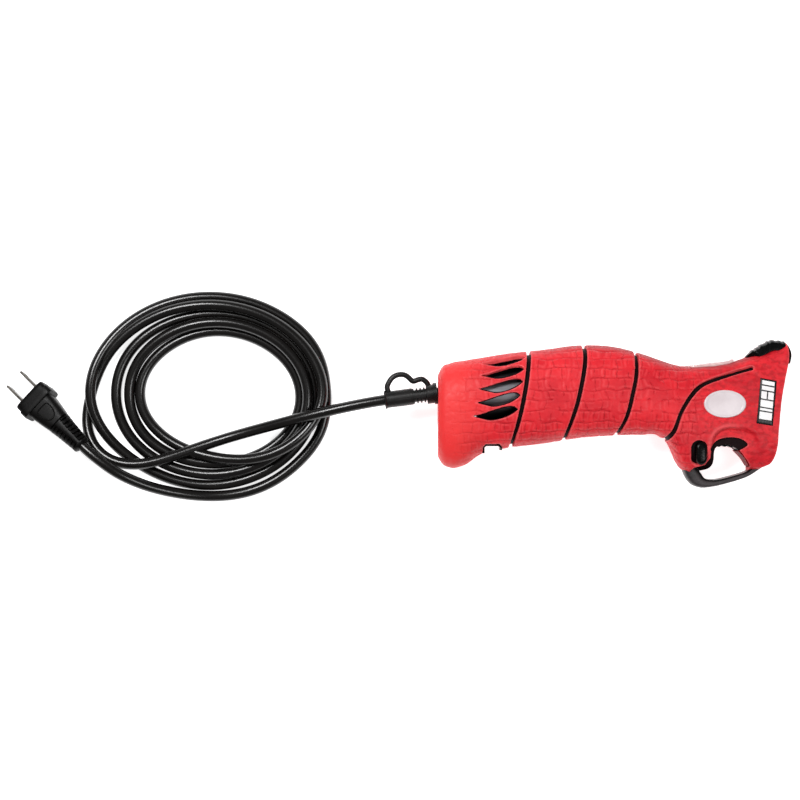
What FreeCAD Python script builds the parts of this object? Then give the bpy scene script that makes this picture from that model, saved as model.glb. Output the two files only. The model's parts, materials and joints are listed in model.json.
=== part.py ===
import FreeCAD, Part
import math
import os

# A corded electric knife handle without its blades, lying on its left side.
# +X runs to the blade end, +Y to the spine, +Z up, millimetres. The origin is on the
# surface that it lies on, below the middle of the handle. The cord is coiled behind it.

Vec = FreeCAD.Vector
os.makedirs("parts", exist_ok=True)

# driving dimensions
MID = 24.0                 # height of the parting plane, half the grip's width
SKIN = 2.2                 # thickness of the soft overmould
WALL = 2.2                 # thickness of the housing
ROUND_POINTS = 24          # points round one section
FAR = 80.0                 # past every part of the handle

# stations along the handle: x, spine, belly, half width
STATIONS = [
    (-112.5, 25.0, -28.0, 18.5),
    (-110.5, 29.0, -31.5, 20.6),
    (-105.0, 32.2, -34.8, 22.6),
    (-96.0, 34.0, -33.4, 23.6),
    (-85.0, 35.8, -26.2, 24.0),
    (-70.0, 38.3, -22.6, 24.0),
    (-45.0, 41.0, -19.4, 24.0),
    (-20.0, 43.9, -15.6, 23.8),
    (0.0, 42.9, -14.2, 23.0),
    (18.0, 38.5, -13.8, 21.8),
    (29.0, 34.7, -14.4, 20.6),
    (36.0, 32.3, -21.0, 19.8),
    (41.0, 31.0, -32.5, 19.1),
    (47.0, 30.3, -38.0, 18.3),
    (60.0, 30.4, -38.6, 17.2),
    (73.0, 32.2, -37.6, 16.6),
    (88.0, 37.0, -36.8, 16.1),
    (102.0, 41.6, -36.4, 15.6),
    (118.0, 50.0, -36.0, 15.0),
]
SQUARENESS = 2.7           # exponent of the sections, 2 would be an ellipse
NOSE_EDGE = [
    (108.5, 54.0), (112.2, 45.6), (112.6, 36.0), (109.0, 22.2), (106.2, 9.0), (104.6, -8.0),
    (103.6, -22.0), (100.6, -31.2), (94.4, -34.9), (86.0, -39.5),
]

# finger opening, trigger window and guard
OPENING = [
    (66.6, -20.5), (76.8, -21.5), (83.3, -28.3), (86.8, -34.6), (83.6, -38.1),
    (74.6, -40.6), (66.0, -42.4), (58.6, -42.0), (55.4, -37.2), (59.5, -35.7),
    (62.4, -33.0), (63.3, -27.1), (64.2, -22.4),
]
GUARD_OUTSIDE = [
    (44.0, -35.0), (45.2, -37.9), (48.1, -43.1), (51.8, -46.6), (57.5, -47.3),
    (65.3, -46.2), (80.9, -42.1), (87.0, -40.2), (91.9, -37.4), (97.4, -31.0),
]
GUARD_INSIDE = [(92.0, -30.0), (84.9, -31.8), (70.0, -34.0), (52.0, -33.0)]
GUARD_HALF_WIDTH = 8.0
WINDOW = (61.6, 87.0, -30.0, -8.0)
WINDOW_HALF_WIDTH = 7.3
OPENING_WALL = 1.19        # wall round the opening: its outside over its inside
CRADLES = (-82.0, -46.0)   # where ribs hold the motor
CRADLE_THICK = 3.0
DISH = [
    (61.5, -30.0), (60.8, -18.0), (64.6, -11.0), (71.0, -8.2), (79.0, -8.4), (86.6, -10.4),
    (91.0, -15.0), (92.0, -24.0), (91.0, -45.0), (64.0, -45.0),
]
DISH_HALF_WIDTH = 14.0     # half the width that the dish round the trigger leaves
LINER = [
    (65.0, -19.0), (61.4, -23.0), (60.7, -28.6), (57.6, -33.0), (51.0, -34.6),
    (48.6, -37.0), (49.5, -41.0), (62.0, -41.0), (66.0, -30.0),
]
SKIN_SCOOP = [
    (61.5, -24.0), (62.6, -19.6), (66.4, -16.4), (72.0, -15.1), (78.0, -15.4), (82.6, -17.2),
    (84.8, -19.8), (82.6, -21.8), (79.0, -23.6), (72.0, -25.0),
]

# black grooves in the skin, and vents through skin and housing
GROOVE_WIDTH = 2.0
GROOVES = [
    [(-54.2, 46.0), (-55.2, 33.0), (-57.2, 17.0), (-61.0, -2.3), (-67.0, -26.0)],
    [(-19.2, 50.0), (-19.6, 32.0), (-23.5, 10.6), (-27.1, -2.3), (-33.4, -22.0)],
    [(14.2, 46.0), (13.4, 27.0), (10.6, 11.9), (6.4, -4.2), (-2.0, -21.0)],
    [(32.0, -18.0), (37.6, -10.3), (43.3, 3.5), (53.9, 17.2), (70.0, 24.0), (87.2, 29.1)],
]
VENT_RIM = 0.6             # how much wider a vent is in the skin than in the housing
VENTS = [                  # tips, then how far the lower and upper edge bulge; the top one
                           # is in the right half only
    ((-84.4, 32.0), (-57.6, 36.3), 3.0, 0.7),
    ((-85.5, 24.4), (-58.5, 28.5), 3.3, 2.3),
    ((-87.1, 15.9), (-59.4, 20.4), 4.1, 2.1),
    ((-88.2, 7.1), (-61.1, 11.6), 4.0, 2.2),
    ((-90.7, -1.5), (-62.7, 2.6), 4.1, 2.4),
]
LEAF_LOW = [(0.16, 0.42), (0.4, 1.0), (0.72, 0.8), (0.92, 0.3)]
LEAF_HIGH = [(0.94, 0.75), (0.74, 1.0), (0.46, 0.55), (0.2, 0.0)]
NOTCH = (-82.9, -73.0, -20.8)

# trim on the outside
BADGE = (69.8, 6.2, 13.5, 8.8)
LABEL = [(92.6, 22.8), (102.9, 20.9), (100.3, -7.8), (89.9, -6.1)]
LENS = [(46.9, 20.0), (46.9, 31.4), (72.0, 34.5), (76.4, 36.1), (77.2, 35.8), (77.2, 20.0)]
LENS_HALF_WIDTH = 4.5
PAD = [
    (85.0, 30.0), (85.0, 37.2), (89.4, 40.8), (94.5, 44.0), (101.0, 47.3), (106.1, 47.2),
    (110.0, 46.2), (113.2, 42.6), (114.1, 39.2), (112.8, 34.6), (108.0, 36.0),
]
PAD_HALF_WIDTH = 8.0
PROUD = 0.8                # badge and label above the skin
SLOT = (0.5, 13.0, 3.2)    # blade slot in the nose: y, half height, half width
NOSE_PLATE = [(102.9, -16.5), (107.0, 17.5)]
NOSE_PLATE_THICK = 2.5
NOSE_PLATE_HALF_WIDTH = 7.0
SEAT_LENGTH = 20.0
SEAT_FALL = 0.14           # the seat's lower side falls forwards, square to the plate

# lock button
LOCK = (54.8, -25.1)
LOCK_HALF = (3.5, 7.3)
LOCK_LENGTH = 36.4

# drive train
AXIS_Y = 13.0              # motor and worm axis
MOTOR = (-86.0, -38.0, 17.8)
CAN_WALL = 1.2
CAN_LID = 1.6
AIR_GAP = 0.6              # between the magnets and the armature
MAGNET_THICK = 3.75
SHAFT_RADIUS = 1.6
SHAFT_ENDS = (-90.5, 35.0)
FAN = (-33.5, -27.0, 14.5)
FAN_BLADES = 9
TEETH = 21
WHEEL = (12.0, 0.5)
WHEEL_PITCH_RADIUS = 8.5
WHEEL_HALF_WIDTH = 2.5
WORM_CORE = 3.0
WORM_CREST = 4.7
WORM_ENDS = (3.4, 20.6)
WORM_TURNS = 6
WORM_THREAD = (0.68, 0.26) # half the thread's thickness at its root and crest
TOOTH = (0.66, 0.27)       # the same for the wheel's teeth
TOOTH_LOW = 0.9            # the teeth's root below the pitch circle
TOOTH_HIGH = 0.8           # and their tips above it
THREAD_PHASE = 90.0        # degrees, puts a gap of the thread over the wheel's top tooth
PITCH = 2 * math.pi * WHEEL_PITCH_RADIUS / TEETH
CRANK = 5.0                # half the stroke
CRANK_PIN = 1.6
PIN_TOP = 5.1              # crank pin's end above the parting plane
AXLE_RADIUS = 1.5
YOKE = (5.4, 7.9)          # lowest and highest face above the parting plane
BAR = (0.5, 3.0)           # the same for the carrier's bar
FRAME_PLATE = (8.7, 10.5)
RUNNING = 0.05             # radial clearance of a running fit

# trigger and switch
TRIGGER_PIVOT = (82.5, -14.5)
TRIGGER_HALF_WIDTH = 6.5
TRIGGER = [
    (64.4, -21.6), (66.8, -20.6), (72.0, -20.3), (77.0, -21.2), (80.6, -23.0),
    (84.0, -21.0), (86.2, -16.5), (85.4, -12.2), (82.0, -11.0), (78.6, -12.6),
    (63.2, -13.9), (62.8, -18.0),
]
TRIGGER_RIBS = 5
TRIGGER_PIN = 1.5
PIN_HALF = 11.4
SWITCH = (62.0, 74.4, -10.6, -4.6, 2.9)
PLUNGER = (68.5, 1.2, -13.1, -8.2)

SCREWS = [(-101.0, -22.0), (-24.0, 33.0), (-38.0, -10.5), (38.0, 20.0), (47.5, -31.5), (93.0, 28.0)]
SCREW_RADIUS = 1.3
SCREW_HEAD = 2.6
SCREW_DEPTH = 9.0          # heads sit this far below the parting plane
SCREW_TIP = 8.5            # tips end this far above it
BOSS = 3.6

# cord, plug and strain relief
CORD = 7.0
RELIEF_END = (-147.0, 8.6)
RELIEF_FLANGE = (-113.2, 13.05)
RELIEF_RADIUS = 5.35
RELIEF_NECK = 3.9          # radius inside the housing's wall
RELIEF_HOLE = 4.75
RELIEF_BLOCK = 6.1         # radius of the thick end between the slots and the flange
RELIEF_SLOTS = 4
LOOP_WIRE = 3.2
LOOP = [
    (-143.6, 12.0), (-145.4, 19.5), (-141.5, 24.4), (-135.6, 25.4), (-130.6, 22.4),
    (-126.4, 20.9), (-122.4, 22.6), (-118.4, 20.2), (-116.6, 14.6),
]
LEAD = [
    (-147.0, 8.6, 24.0), (-158.0, 7.15, 24.0), (-172.0, 4.0, 22.6), (-188.0, 0.4, 20.6),
    (-205.0, -3.6, 16.6), (-222.0, -8.4, 10.8), (-240.0, -13.6, 6.6), (-257.0, -19.6, 5.6),
    (-271.0, -24.6, 6.0),
]
TAIL = [
    (-182.4, 6.0, 5.0), (-184.6, -6.4, 4.6), (-191.2, -19.0, 4.2), (-201.6, -31.4, 4.0),
    (-214.0, -42.0, 4.0), (-228.6, -50.0, 4.0), (-245.0, -54.0, 4.2), (-262.0, -54.6, 4.8),
    (-279.0, -52.8, 8.4), (-295.0, -49.2, 13.8), (-309.0, -44.4, 19.6), (-320.6, -38.4, 24.1),
    (-332.4, -29.55, 24.66), (-341.6, -21.0, 21.3),
]
COIL_OUTSIDE = (-261.2, 13.6, 82.0, 64.6)
COIL_INSIDE = (-251.0, 11.9, 50.0, 38.6)
COIL_HEIGHT = 15.0
PLUG_YAW = 137.1
PLUG_PITCH = 15.0
PLUG_LENGTH = 49.5
BLADE = (15.9, 6.3, 1.5, 12.7)
MIN_BEND = 5.0             # smallest radius of the cord, in diameters


def polygon_face(points, z=0.0):
    corners = [Vec(x, y, z) for x, y in points]
    return Part.Face(Part.makePolygon(corners + corners[:1]))


def prism(points, low=-FAR, high=FAR):
    return polygon_face(points, low).extrude(Vec(0, 0, high - low))


def spline_edge(points, z=0.0, closed=False):
    curve = Part.BSplineCurve()
    curve.interpolate([Vec(x, y, z) for x, y in points], PeriodicFlag=closed)
    return curve.toShape()


def smooth_prism(points, low=-FAR, high=FAR):
    wire = Part.Wire(spline_edge(points, low, closed=True))
    return Part.Face(wire).extrude(Vec(0, 0, high - low))


def box(x0, x1, y0, y1, z0, z1):
    return Part.makeBox(x1 - x0, y1 - y0, z1 - z0, Vec(x0, y0, z0))


def mid_box(x0, x1, y0, y1, half):
    return box(x0, x1, y0, y1, MID - half, MID + half)


def rod(radius, x, y, z0, z1):
    return Part.makeCylinder(radius, z1 - z0, Vec(x, y, z0))


def bar(radius, x0, x1, y=AXIS_Y):
    return Part.makeCylinder(radius, x1 - x0, Vec(x0, y, MID), Vec(1, 0, 0))


def joined(shapes):
    first, *rest = shapes
    return first.fuse(rest) if rest else first


def capsule(x, y, half_x, half_y, low, high):
    ends = [rod(half_x, x, y + s * (half_y - half_x), low, high) for s in (-1, 1)]
    middle = box(x - half_x, x + half_x, y - half_y + half_x, y + half_y - half_x, low, high)
    return joined([middle, *ends])


def section(station, inset):
    """The closed outline of the handle at one station, drawn in by inset."""
    x, spine, belly, half = station
    centre = (spine + belly) / 2
    tall = (spine - belly) / 2 - inset
    wide = half - inset
    points = []
    for k in range(ROUND_POINTS):
        turn = 2 * math.pi * k / ROUND_POINTS
        c, s = math.cos(turn), math.sin(turn)
        y = centre + tall * math.copysign(abs(c) ** (2 / SQUARENESS), c)
        z = MID + wide * math.copysign(abs(s) ** (2 / SQUARENESS), s)
        points.append(Vec(x, y, z))
    curve = Part.BSplineCurve()
    curve.interpolate(points, PeriodicFlag=True)
    return Part.Wire(curve.toShape())


def body(inset):
    """The handle's solid without the guard, drawn in by inset."""
    rear = STATIONS[0]
    stations = [(rear[0] + inset, *rear[1:]), *STATIONS[1:]]
    if inset > 1.5:
        stations.pop(1)
    shape = Part.makeLoft([section(s, inset) for s in stations], True, False)
    edge = [(x - inset, y) for x, y in NOSE_EDGE]
    first, last = edge[0], edge[-1]
    corners = [last, (last[0], -FAR), (-2 * FAR, -FAR), (-2 * FAR, FAR), (first[0], FAR), first]
    lines = [Part.makeLine(Vec(*a, -FAR), Vec(*b, -FAR)) for a, b in zip(corners, corners[1:])]
    outline = Part.Wire([spline_edge(edge, -FAR), *lines])
    return shape.common(Part.Face(outline).extrude(Vec(0, 0, 2 * FAR)))


def ribbon(points, width):
    """A band of one width along a smooth curve, through the whole handle."""
    sides = []
    for side in (-width / 2, width / 2):
        moved = []
        for i, (x, y) in enumerate(points):
            before, after = points[max(i - 1, 0)], points[min(i + 1, len(points) - 1)]
            dx, dy = after[0] - before[0], after[1] - before[1]
            long = math.hypot(dx, dy)
            moved.append((x - side * dy / long, y + side * dx / long))
        sides.append(moved)
    left, right = sides
    edges = [
        spline_edge(left, -FAR),
        Part.makeLine(Vec(*left[-1], -FAR), Vec(*right[-1], -FAR)),
        spline_edge(right[::-1], -FAR),
        Part.makeLine(Vec(*right[0], -FAR), Vec(*left[0], -FAR)),
    ]
    return Part.Face(Part.Wire(edges)).extrude(Vec(0, 0, 2 * FAR))


def leaf(start, end, low, high, grow=0.0):
    """A vent: a leaf from tip to tip, fuller below at its rear and above at its front."""
    (x0, y0), (x1, y1) = start, end
    long = math.hypot(x1 - x0, y1 - y0)
    along = ((x1 - x0) / long, (y1 - y0) / long)

    def at(share, off):
        return (x0 + along[0] * share * long - along[1] * off,
                y0 + along[1] * share * long + along[0] * off)

    under = [at(share, -low * off - grow) for share, off in LEAF_LOW]
    over = [at(share, high * off + grow) for share, off in LEAF_HIGH]
    rear, front = at(-grow / long, 0.0), at(1 + grow / long, 0.0)
    edges = [spline_edge([rear, *under, front], -FAR), spline_edge([front, *over, rear], -FAR)]
    return Part.Face(Part.Wire(edges)).extrude(Vec(0, 0, 2 * FAR))


def upper(shape):
    return shape.common(box(-2 * FAR, 2 * FAR, -FAR, FAR, MID, FAR))


def lower(shape):
    return shape.common(box(-2 * FAR, 2 * FAR, -FAR, FAR, -FAR, MID))


def save(name, shape):
    shape = shape.removeSplitter() if len(shape.Solids) == 1 else shape
    bounds = shape.optimalBoundingBox(False)
    size = f"{bounds.XLength:.1f} x {bounds.YLength:.1f} x {bounds.ZLength:.1f}"
    print(name, len(shape.Solids), "valid" if shape.isValid() else "NOT VALID", size)
    shape.exportStep(f"parts/{name}.step")


# shells -------------------------------------------------------------------------------

def dished(shape, inset):
    """Dishes both flanks round the trigger."""
    for side in (-1, 1):
        low, high = sorted((MID + side * (DISH_HALF_WIDTH - inset), MID + side * FAR))
        shape = shape.cut(smooth_prism(DISH, low, high))
    return shape


outside = dished(body(0.0), 0.0)
core = dished(body(SKIN), SKIN)
cavity = dished(body(SKIN + WALL), SKIN + WALL)
opening = smooth_prism(OPENING)
notch = box(NOTCH[0], NOTCH[1], -FAR, NOTCH[2], -FAR, FAR)
slot = mid_box(90.0, 125.0, SLOT[0] - SLOT[1], SLOT[0] + SLOT[1], SLOT[2])
plate_back = [(x - NOSE_PLATE_THICK, y) for x, y in NOSE_PLATE]
plate_outline = [*NOSE_PLATE, *plate_back[::-1]]
seat_front = (NOSE_PLATE[0][0] + SEAT_LENGTH, NOSE_PLATE[0][1] - SEAT_LENGTH * SEAT_FALL)
seat_outline = [*plate_back, (seat_front[0], NOSE_PLATE[1][1]), seat_front, NOSE_PLATE[0]]
nose_seat = prism(seat_outline, MID - NOSE_PLATE_HALF_WIDTH, MID + NOSE_PLATE_HALF_WIDTH)
window = mid_box(*WINDOW, WINDOW_HALF_WIDTH)


def relief_axis(distance, offset=0.0):
    """A point on the strain relief's axis, from its cord end towards the handle."""
    dx, dy = RELIEF_FLANGE[0] - RELIEF_END[0], RELIEF_FLANGE[1] - RELIEF_END[1]
    long = math.hypot(dx, dy)
    return Vec(RELIEF_END[0] + dx / long * distance - dy / long * offset,
               RELIEF_END[1] + dy / long * distance + dx / long * offset, MID)


RELIEF_LENGTH = math.hypot(RELIEF_FLANGE[0] - RELIEF_END[0], RELIEF_FLANGE[1] - RELIEF_END[1])
RELIEF_DIRECTION = relief_axis(1.0).sub(relief_axis(0.0))


def relief_piece(radius, start, end):
    return Part.makeCylinder(radius, end - start, relief_axis(start), RELIEF_DIRECTION)


relief_hole = relief_piece(RELIEF_HOLE, RELIEF_LENGTH - 3, RELIEF_LENGTH + 9)


def skins():
    """The soft red overmould, cut by the black grooves into its panels."""
    shape = outside.cut(core)
    cuts = [ribbon(groove, GROOVE_WIDTH) for groove in GROOVES]
    cuts += [rod(GROOVE_WIDTH / 2, *GROOVES[3][-1], -FAR, FAR)]
    cuts += [opening, smooth_prism(SKIN_SCOOP), prism(LINER), notch, nose_seat, relief_hole]
    cuts += [capsule(LOCK[0] - 1.5, LOCK[1], LOCK_HALF[0] + 1.5, LOCK_HALF[1] + 0.9, -FAR, FAR)]
    cuts += [capsule(*LOCK, LOCK_HALF[0] + 0.4, LOCK_HALF[1] + 0.4, -FAR, FAR)]
    cuts += [rod(SCREW_HEAD + 0.6, x, y, -FAR, MID) for x, y in SCREWS]
    shape = shape.cut(joined(cuts))
    for name, half, vents in (("right", upper, VENTS), ("left", lower, VENTS[1:])):
        openings = joined([leaf(*vent, grow=VENT_RIM) for vent in vents])
        save(f"grip_skin_{name}", half(shape).cut(openings))


def housings():
    """The two halves of the black housing, with bosses, motor cradles and the opening's wall."""
    opening_wall = smooth_prism(OPENING)
    centre = opening_wall.BoundBox.Center
    grow = FreeCAD.Matrix()
    grow.move(Vec(-centre.x, -centre.y, 0))
    grow.scale(OPENING_WALL, OPENING_WALL, 1)
    grow.move(Vec(centre.x, centre.y, 0))
    opening_wall = opening_wall.transformGeometry(grow)
    cradles = joined([box(x, x + CRADLE_THICK, -FAR, FAR, 0, FAR) for x in CRADLES])
    cradles = cradles.cut(bar(MOTOR[2] + 0.15, -95.0, -30.0))
    bosses = [rod(BOSS, x, y, 0, 2 * MID) for x, y in SCREWS]
    filling = joined([opening_wall, cradles, *bosses])
    cuts = [opening, window, notch, slot, nose_seat, relief_hole]
    cuts += [capsule(*LOCK, LOCK_HALF[0] + 0.25, LOCK_HALF[1] + 0.25, -FAR, FAR)]
    cuts += [rod(SCREW_RADIUS + 0.02, x, y, 0, MID + SCREW_DEPTH) for x, y in SCREWS]
    cuts += [rod(SCREW_HEAD + 0.3, x, y, -FAR, MID - SCREW_DEPTH) for x, y in SCREWS]
    cuts += [rod(TRIGGER_PIN + 0.02, *TRIGGER_PIVOT, MID - PIN_HALF - 0.1, MID + PIN_HALF + 0.1)]
    for name, half, vents in (("right", upper, VENTS), ("left", lower, VENTS[1:])):
        shape = half(core).cut(half(cavity).cut(filling))
        for cut in [*cuts, *(leaf(*vent) for vent in vents)]:
            shape = shape.cut(cut)
        save(f"housing_{name}", shape)


def guard():
    """The trigger guard: a bar under the finger opening, wide at its rear corner."""
    shape = prism(GUARD_OUTSIDE + GUARD_INSIDE, MID - GUARD_HALF_WIDTH, MID + GUARD_HALF_WIDTH)
    shape = shape.cut(opening).cut(outside)
    save("trigger_guard", max(shape.Solids, key=lambda s: s.Volume))


def trim():
    """Thumb pad, lens on the spine, badge, label and the plate round the blade slot."""
    pad = prism(PAD, MID - PAD_HALF_WIDTH, MID + PAD_HALF_WIDTH).cut(outside)
    save("thumb_pad", max(pad.Solids, key=lambda s: s.Volume))
    lens = prism(LENS, MID - LENS_HALF_WIDTH, MID + LENS_HALF_WIDTH).cut(outside)
    save("power_light_lens", max(lens.Solids, key=lambda s: s.Volume))
    layer = upper(body(-PROUD).cut(outside))
    x, y, half_x, half_y = BADGE
    oval = Part.Face(Part.Wire(Part.Ellipse(Vec(x, y, 0), half_x, half_y).toShape()))
    save("oval_badge", layer.common(oval.extrude(Vec(0, 0, FAR))))
    save("label_plate", layer.common(prism(LABEL, 0.0, FAR)))
    plate = prism(plate_outline, MID - NOSE_PLATE_HALF_WIDTH, MID + NOSE_PLATE_HALF_WIDTH)
    save("nose_plate", plate.cut(slot))


def screw(x, y, head_z, tip_z):
    """A pan-head screw that is driven upwards from below, with a cross recess."""
    shank = rod(SCREW_RADIUS, x, y, head_z, tip_z)
    head = rod(SCREW_HEAD, x, y, head_z - 2.2, head_z)
    cross = [box(x - a, x + a, y - b, y + b, head_z - 2.3, head_z - 1.2)
             for a, b in ((1.6, 0.35), (0.35, 1.6))]
    return joined([shank, head]).cut(joined(cross))


def fasteners():
    screws = [screw(x, y, MID - SCREW_DEPTH, MID + SCREW_TIP) for x, y in SCREWS]
    save("housing_screws", Part.makeCompound(screws))


# motor and gears ----------------------------------------------------------------------

def motor():
    start, end, radius = MOTOR
    can = bar(radius, start, end).cut(bar(radius - CAN_WALL, start, end - CAN_LID))
    can = can.cut(bar(4.0, end - 3, end + 1))
    save("motor_can", can)
    inside = radius - CAN_WALL - RUNNING
    cap = joined([bar(inside, start, start + 3.0), bar(radius, start - CAN_LID, start)])
    cap = cap.cut(bar(3.5, start - 3, start + 4))
    save("motor_end_cap", cap)
    bore = inside - MAGNET_THICK
    ring = bar(inside, start + 10, end - 5).cut(bar(bore, start + 10, end - 5))
    gap = mid_box(start, end, AXIS_Y - 5.0, AXIS_Y + 5.0, radius)
    save("motor_magnets", ring.cut(gap))
    for name, x, outer in (("front", end - CAN_LID, 4.0), ("rear", start - CAN_LID, 3.5)):
        bush = bar(outer, x, x + 4.5).cut(bar(SHAFT_RADIUS + RUNNING, x - 1, x + 6))
        save(f"{name}_motor_bush", bush)
    core_start, core_end = start + 12, end - 7
    lamination = bar(bore - AIR_GAP, core_start, core_end)
    slots = []
    for k in range(5):
        cut = mid_box(core_start - 1, core_end + 1, AXIS_Y + 5.5, AXIS_Y + radius, 1.1)
        cut.rotate(Vec(0, AXIS_Y, MID), Vec(1, 0, 0), 72 * k)
        slots.append(cut)
    lamination = lamination.cut(joined(slots)).cut(bar(SHAFT_RADIUS, start, end))
    save("motor_armature", lamination)
    drum = bar(4.2, start + 4, start + 10.5).cut(bar(SHAFT_RADIUS, start, end))
    save("commutator", drum)
    brushes = [mid_box(start + 5, start + 9, AXIS_Y + a, AXIS_Y + b, 1.5)
               for a, b in ((4.5, 11.0), (-11.0, -4.5))]
    save("carbon_brushes", Part.makeCompound(brushes))


def rotor():
    save("motor_shaft", bar(SHAFT_RADIUS, *SHAFT_ENDS))
    start, end, radius = FAN
    hub = bar(4.0, start, end)
    blades = []
    for k in range(FAN_BLADES):
        blade = mid_box(start + 1.5, end, AXIS_Y + 3.5, AXIS_Y + radius, 0.5)
        blade.rotate(Vec(0, AXIS_Y, MID), Vec(1, 0, 0), 360 * k / FAN_BLADES)
        blades.append(blade)
    disc = bar(radius, start, start + 1.5)
    fan = joined([hub, disc, *blades]).cut(bar(SHAFT_RADIUS, start - 1, end + 1))
    save("cooling_fan", fan)
    bearing = bar(4.5, 30.5, 34.5).cut(bar(SHAFT_RADIUS + RUNNING, 30, 36))
    save("front_bearing", bearing)


def worm():
    """A right-hand worm: a thread swept along a helix on its core."""
    start, end = WORM_ENDS
    thread_long = WORM_TURNS * PITCH
    thread_start = WHEEL[0] - thread_long / 2
    helix = Part.makeHelix(PITCH, thread_long, WORM_CORE)
    half_root, half_tip = WORM_THREAD
    profile = Part.makePolygon([
        Vec(WORM_CORE - 0.4, 0, -half_root), Vec(WORM_CREST, 0, -half_tip),
        Vec(WORM_CREST, 0, half_tip), Vec(WORM_CORE - 0.4, 0, half_root),
        Vec(WORM_CORE - 0.4, 0, -half_root),
    ])
    thread = Part.Wire(helix).makePipeShell([profile], True, True)
    # the helix starts at +X of its own frame and must cross the wheel's side between teeth
    thread.rotate(Vec(0, 0, 0), Vec(0, 0, 1), THREAD_PHASE)
    thread.rotate(Vec(0, 0, 0), Vec(0, 1, 0), 90)
    thread.translate(Vec(thread_start, AXIS_Y, MID))
    core_bar = bar(WORM_CORE, start, end)
    shape = core_bar.fuse(thread).cut(bar(SHAFT_RADIUS, start - 1, end + 1))
    save("worm", shape)


def gear():
    """The worm wheel with a crank pin on each face, half a turn apart."""
    x, y = WHEEL
    half = WHEEL_HALF_WIDTH
    low, high = MID - half, MID + half
    root, tip = WHEEL_PITCH_RADIUS - TOOTH_LOW, WHEEL_PITCH_RADIUS + TOOTH_HIGH
    wide, narrow = TOOTH
    disc = rod(root, x, y, low, high)
    teeth = []
    for k in range(TEETH):
        tooth = prism([(x - wide, y + root - 0.4), (x + wide, y + root - 0.4),
                       (x + narrow, y + tip), (x - narrow, y + tip)], low, high)
        tooth.rotate(Vec(x, y, 0), Vec(0, 0, 1), 360 * k / TEETH)
        teeth.append(tooth)
    shape = joined([disc, *teeth]).cut(rod(AXLE_RADIUS + RUNNING, x, y, 0, 2 * MID))
    save("worm_wheel", shape)
    pins = [rod(CRANK_PIN, x, y + CRANK, high, MID + PIN_TOP),
            rod(CRANK_PIN, x, y - CRANK, MID - PIN_TOP, low)]
    save("crank_pins", Part.makeCompound(pins))
    save("gear_axle", rod(AXLE_RADIUS, x, y, MID - FRAME_PLATE[1], MID + FRAME_PLATE[1]))


def gear_frame():
    """Two cheek plates for the axle, bridged behind the wheel, with the front bearing's eye."""
    inner, outer = FRAME_PLATE
    plates = [box(-8.0, 28.0, -4.5, 20.0, MID + a, MID + b)
              for a, b in ((inner, outer), (-outer, -inner))]
    bridge = mid_box(-8.0, -5.5, -4.5, 20.0, outer)
    eye = mid_box(28.0, 30.5, 9.4, 20.0, outer)
    eye = eye.fuse(bar(6.5, 28.0, 34.0))
    feet = joined([rod(2.5, x, y, -FAR, FAR) for x, y in ((-5.0, 17.0), (-5.0, -1.5), (25.0, 17.0))])
    feet = feet.common(cavity).cut(mid_box(-20.0, 40.0, -20.0, 40.0, inner))
    shape = joined([*plates, bridge, eye, *feet.Solids])
    shape = shape.cut(bar(2.6, -10, 31)).cut(bar(4.5, 30.5, 40))
    shape = shape.cut(rod(AXLE_RADIUS, *WHEEL, 0, 2 * MID))
    save("gear_frame", shape)


def carrier(name, side):
    """A blade carrier: yoke at the crank, jog to the middle, bar and blade socket."""
    x, y = WHEEL

    def layer(x0, x1, y0, y1, span):
        low, high = sorted(side * s for s in span)
        return box(x0, x1, y0, y1, MID + low, MID + high)

    yoke = layer(x - 9.0, x + 20.0, y - 8.3, y + 8.3, YOKE)
    crank_slot = layer(x - CRANK_PIN - 0.3, x + CRANK_PIN + 0.3, y - 6.9, y + 6.9, (4, 9))
    axle_slot = layer(x - CRANK - 1.9, x + CRANK + 1.9, y - 1.9, y + 1.9, (4, 9))
    jog = layer(x + 17.0, x + 20.0, y - 4.0, y + 4.0, (BAR[0], YOKE[1]))
    long_bar = layer(x + 17.0, 82.0, y - 4.0, y + 4.0, BAR)
    socket = layer(80.0, 94.5, y - 7.0, y + 7.0, (BAR[0], 5.6))
    pocket = layer(82.5, 95.0, y - 5.0, y + 5.0, (1.5, 3.3))
    catch = layer(86.0, 89.0, y - 1.5, y + 1.5, (3.0, 6.0))
    shape = joined([yoke, jog, long_bar, socket]).cut(joined([crank_slot, axle_slot, pocket, catch]))
    save(name, shape)


def carrier_guides():
    """Two guide blocks between the housing halves, with a channel for both carriers."""
    y = WHEEL[1]
    blocks = joined([mid_box(x, x + 8.0, y - 8.0, y + 8.0, MID) for x in (42.0, 54.0)])
    channel = mid_box(40.0, 66.0, y - 4.3, y + 4.3, BAR[1] + 0.3)
    save("carrier_guides", blocks.common(cavity).cut(channel))


# trigger, switch and lock -------------------------------------------------------------

def trigger():
    shape = prism(TRIGGER, MID - TRIGGER_HALF_WIDTH, MID + TRIGGER_HALF_WIDTH)
    dents = [rod(0.45, 66.5 + 2.4 * k, -20.75 - 0.2 * max(k - 3, 0), 0, 2 * MID)
             for k in range(TRIGGER_RIBS)]
    shape = shape.cut(joined([*dents, rod(TRIGGER_PIN + RUNNING, *TRIGGER_PIVOT, 0, 2 * MID)]))
    save("trigger", shape)
    save("trigger_pin", rod(TRIGGER_PIN, *TRIGGER_PIVOT, MID - PIN_HALF, MID + PIN_HALF))
    x0, x1, y0, y1, half = SWITCH
    x, radius, low, high = PLUNGER
    block = mid_box(x0, x1, y0, y1, half)
    hole = Part.makeCylinder(radius + RUNNING, 5.0, Vec(x, y0 - 0.2, MID), Vec(0, 1, 0))
    save("trigger_switch", block.cut(hole))
    save("switch_plunger", Part.makeCylinder(radius, high - low, Vec(x, low, MID), Vec(0, 1, 0)))


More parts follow.
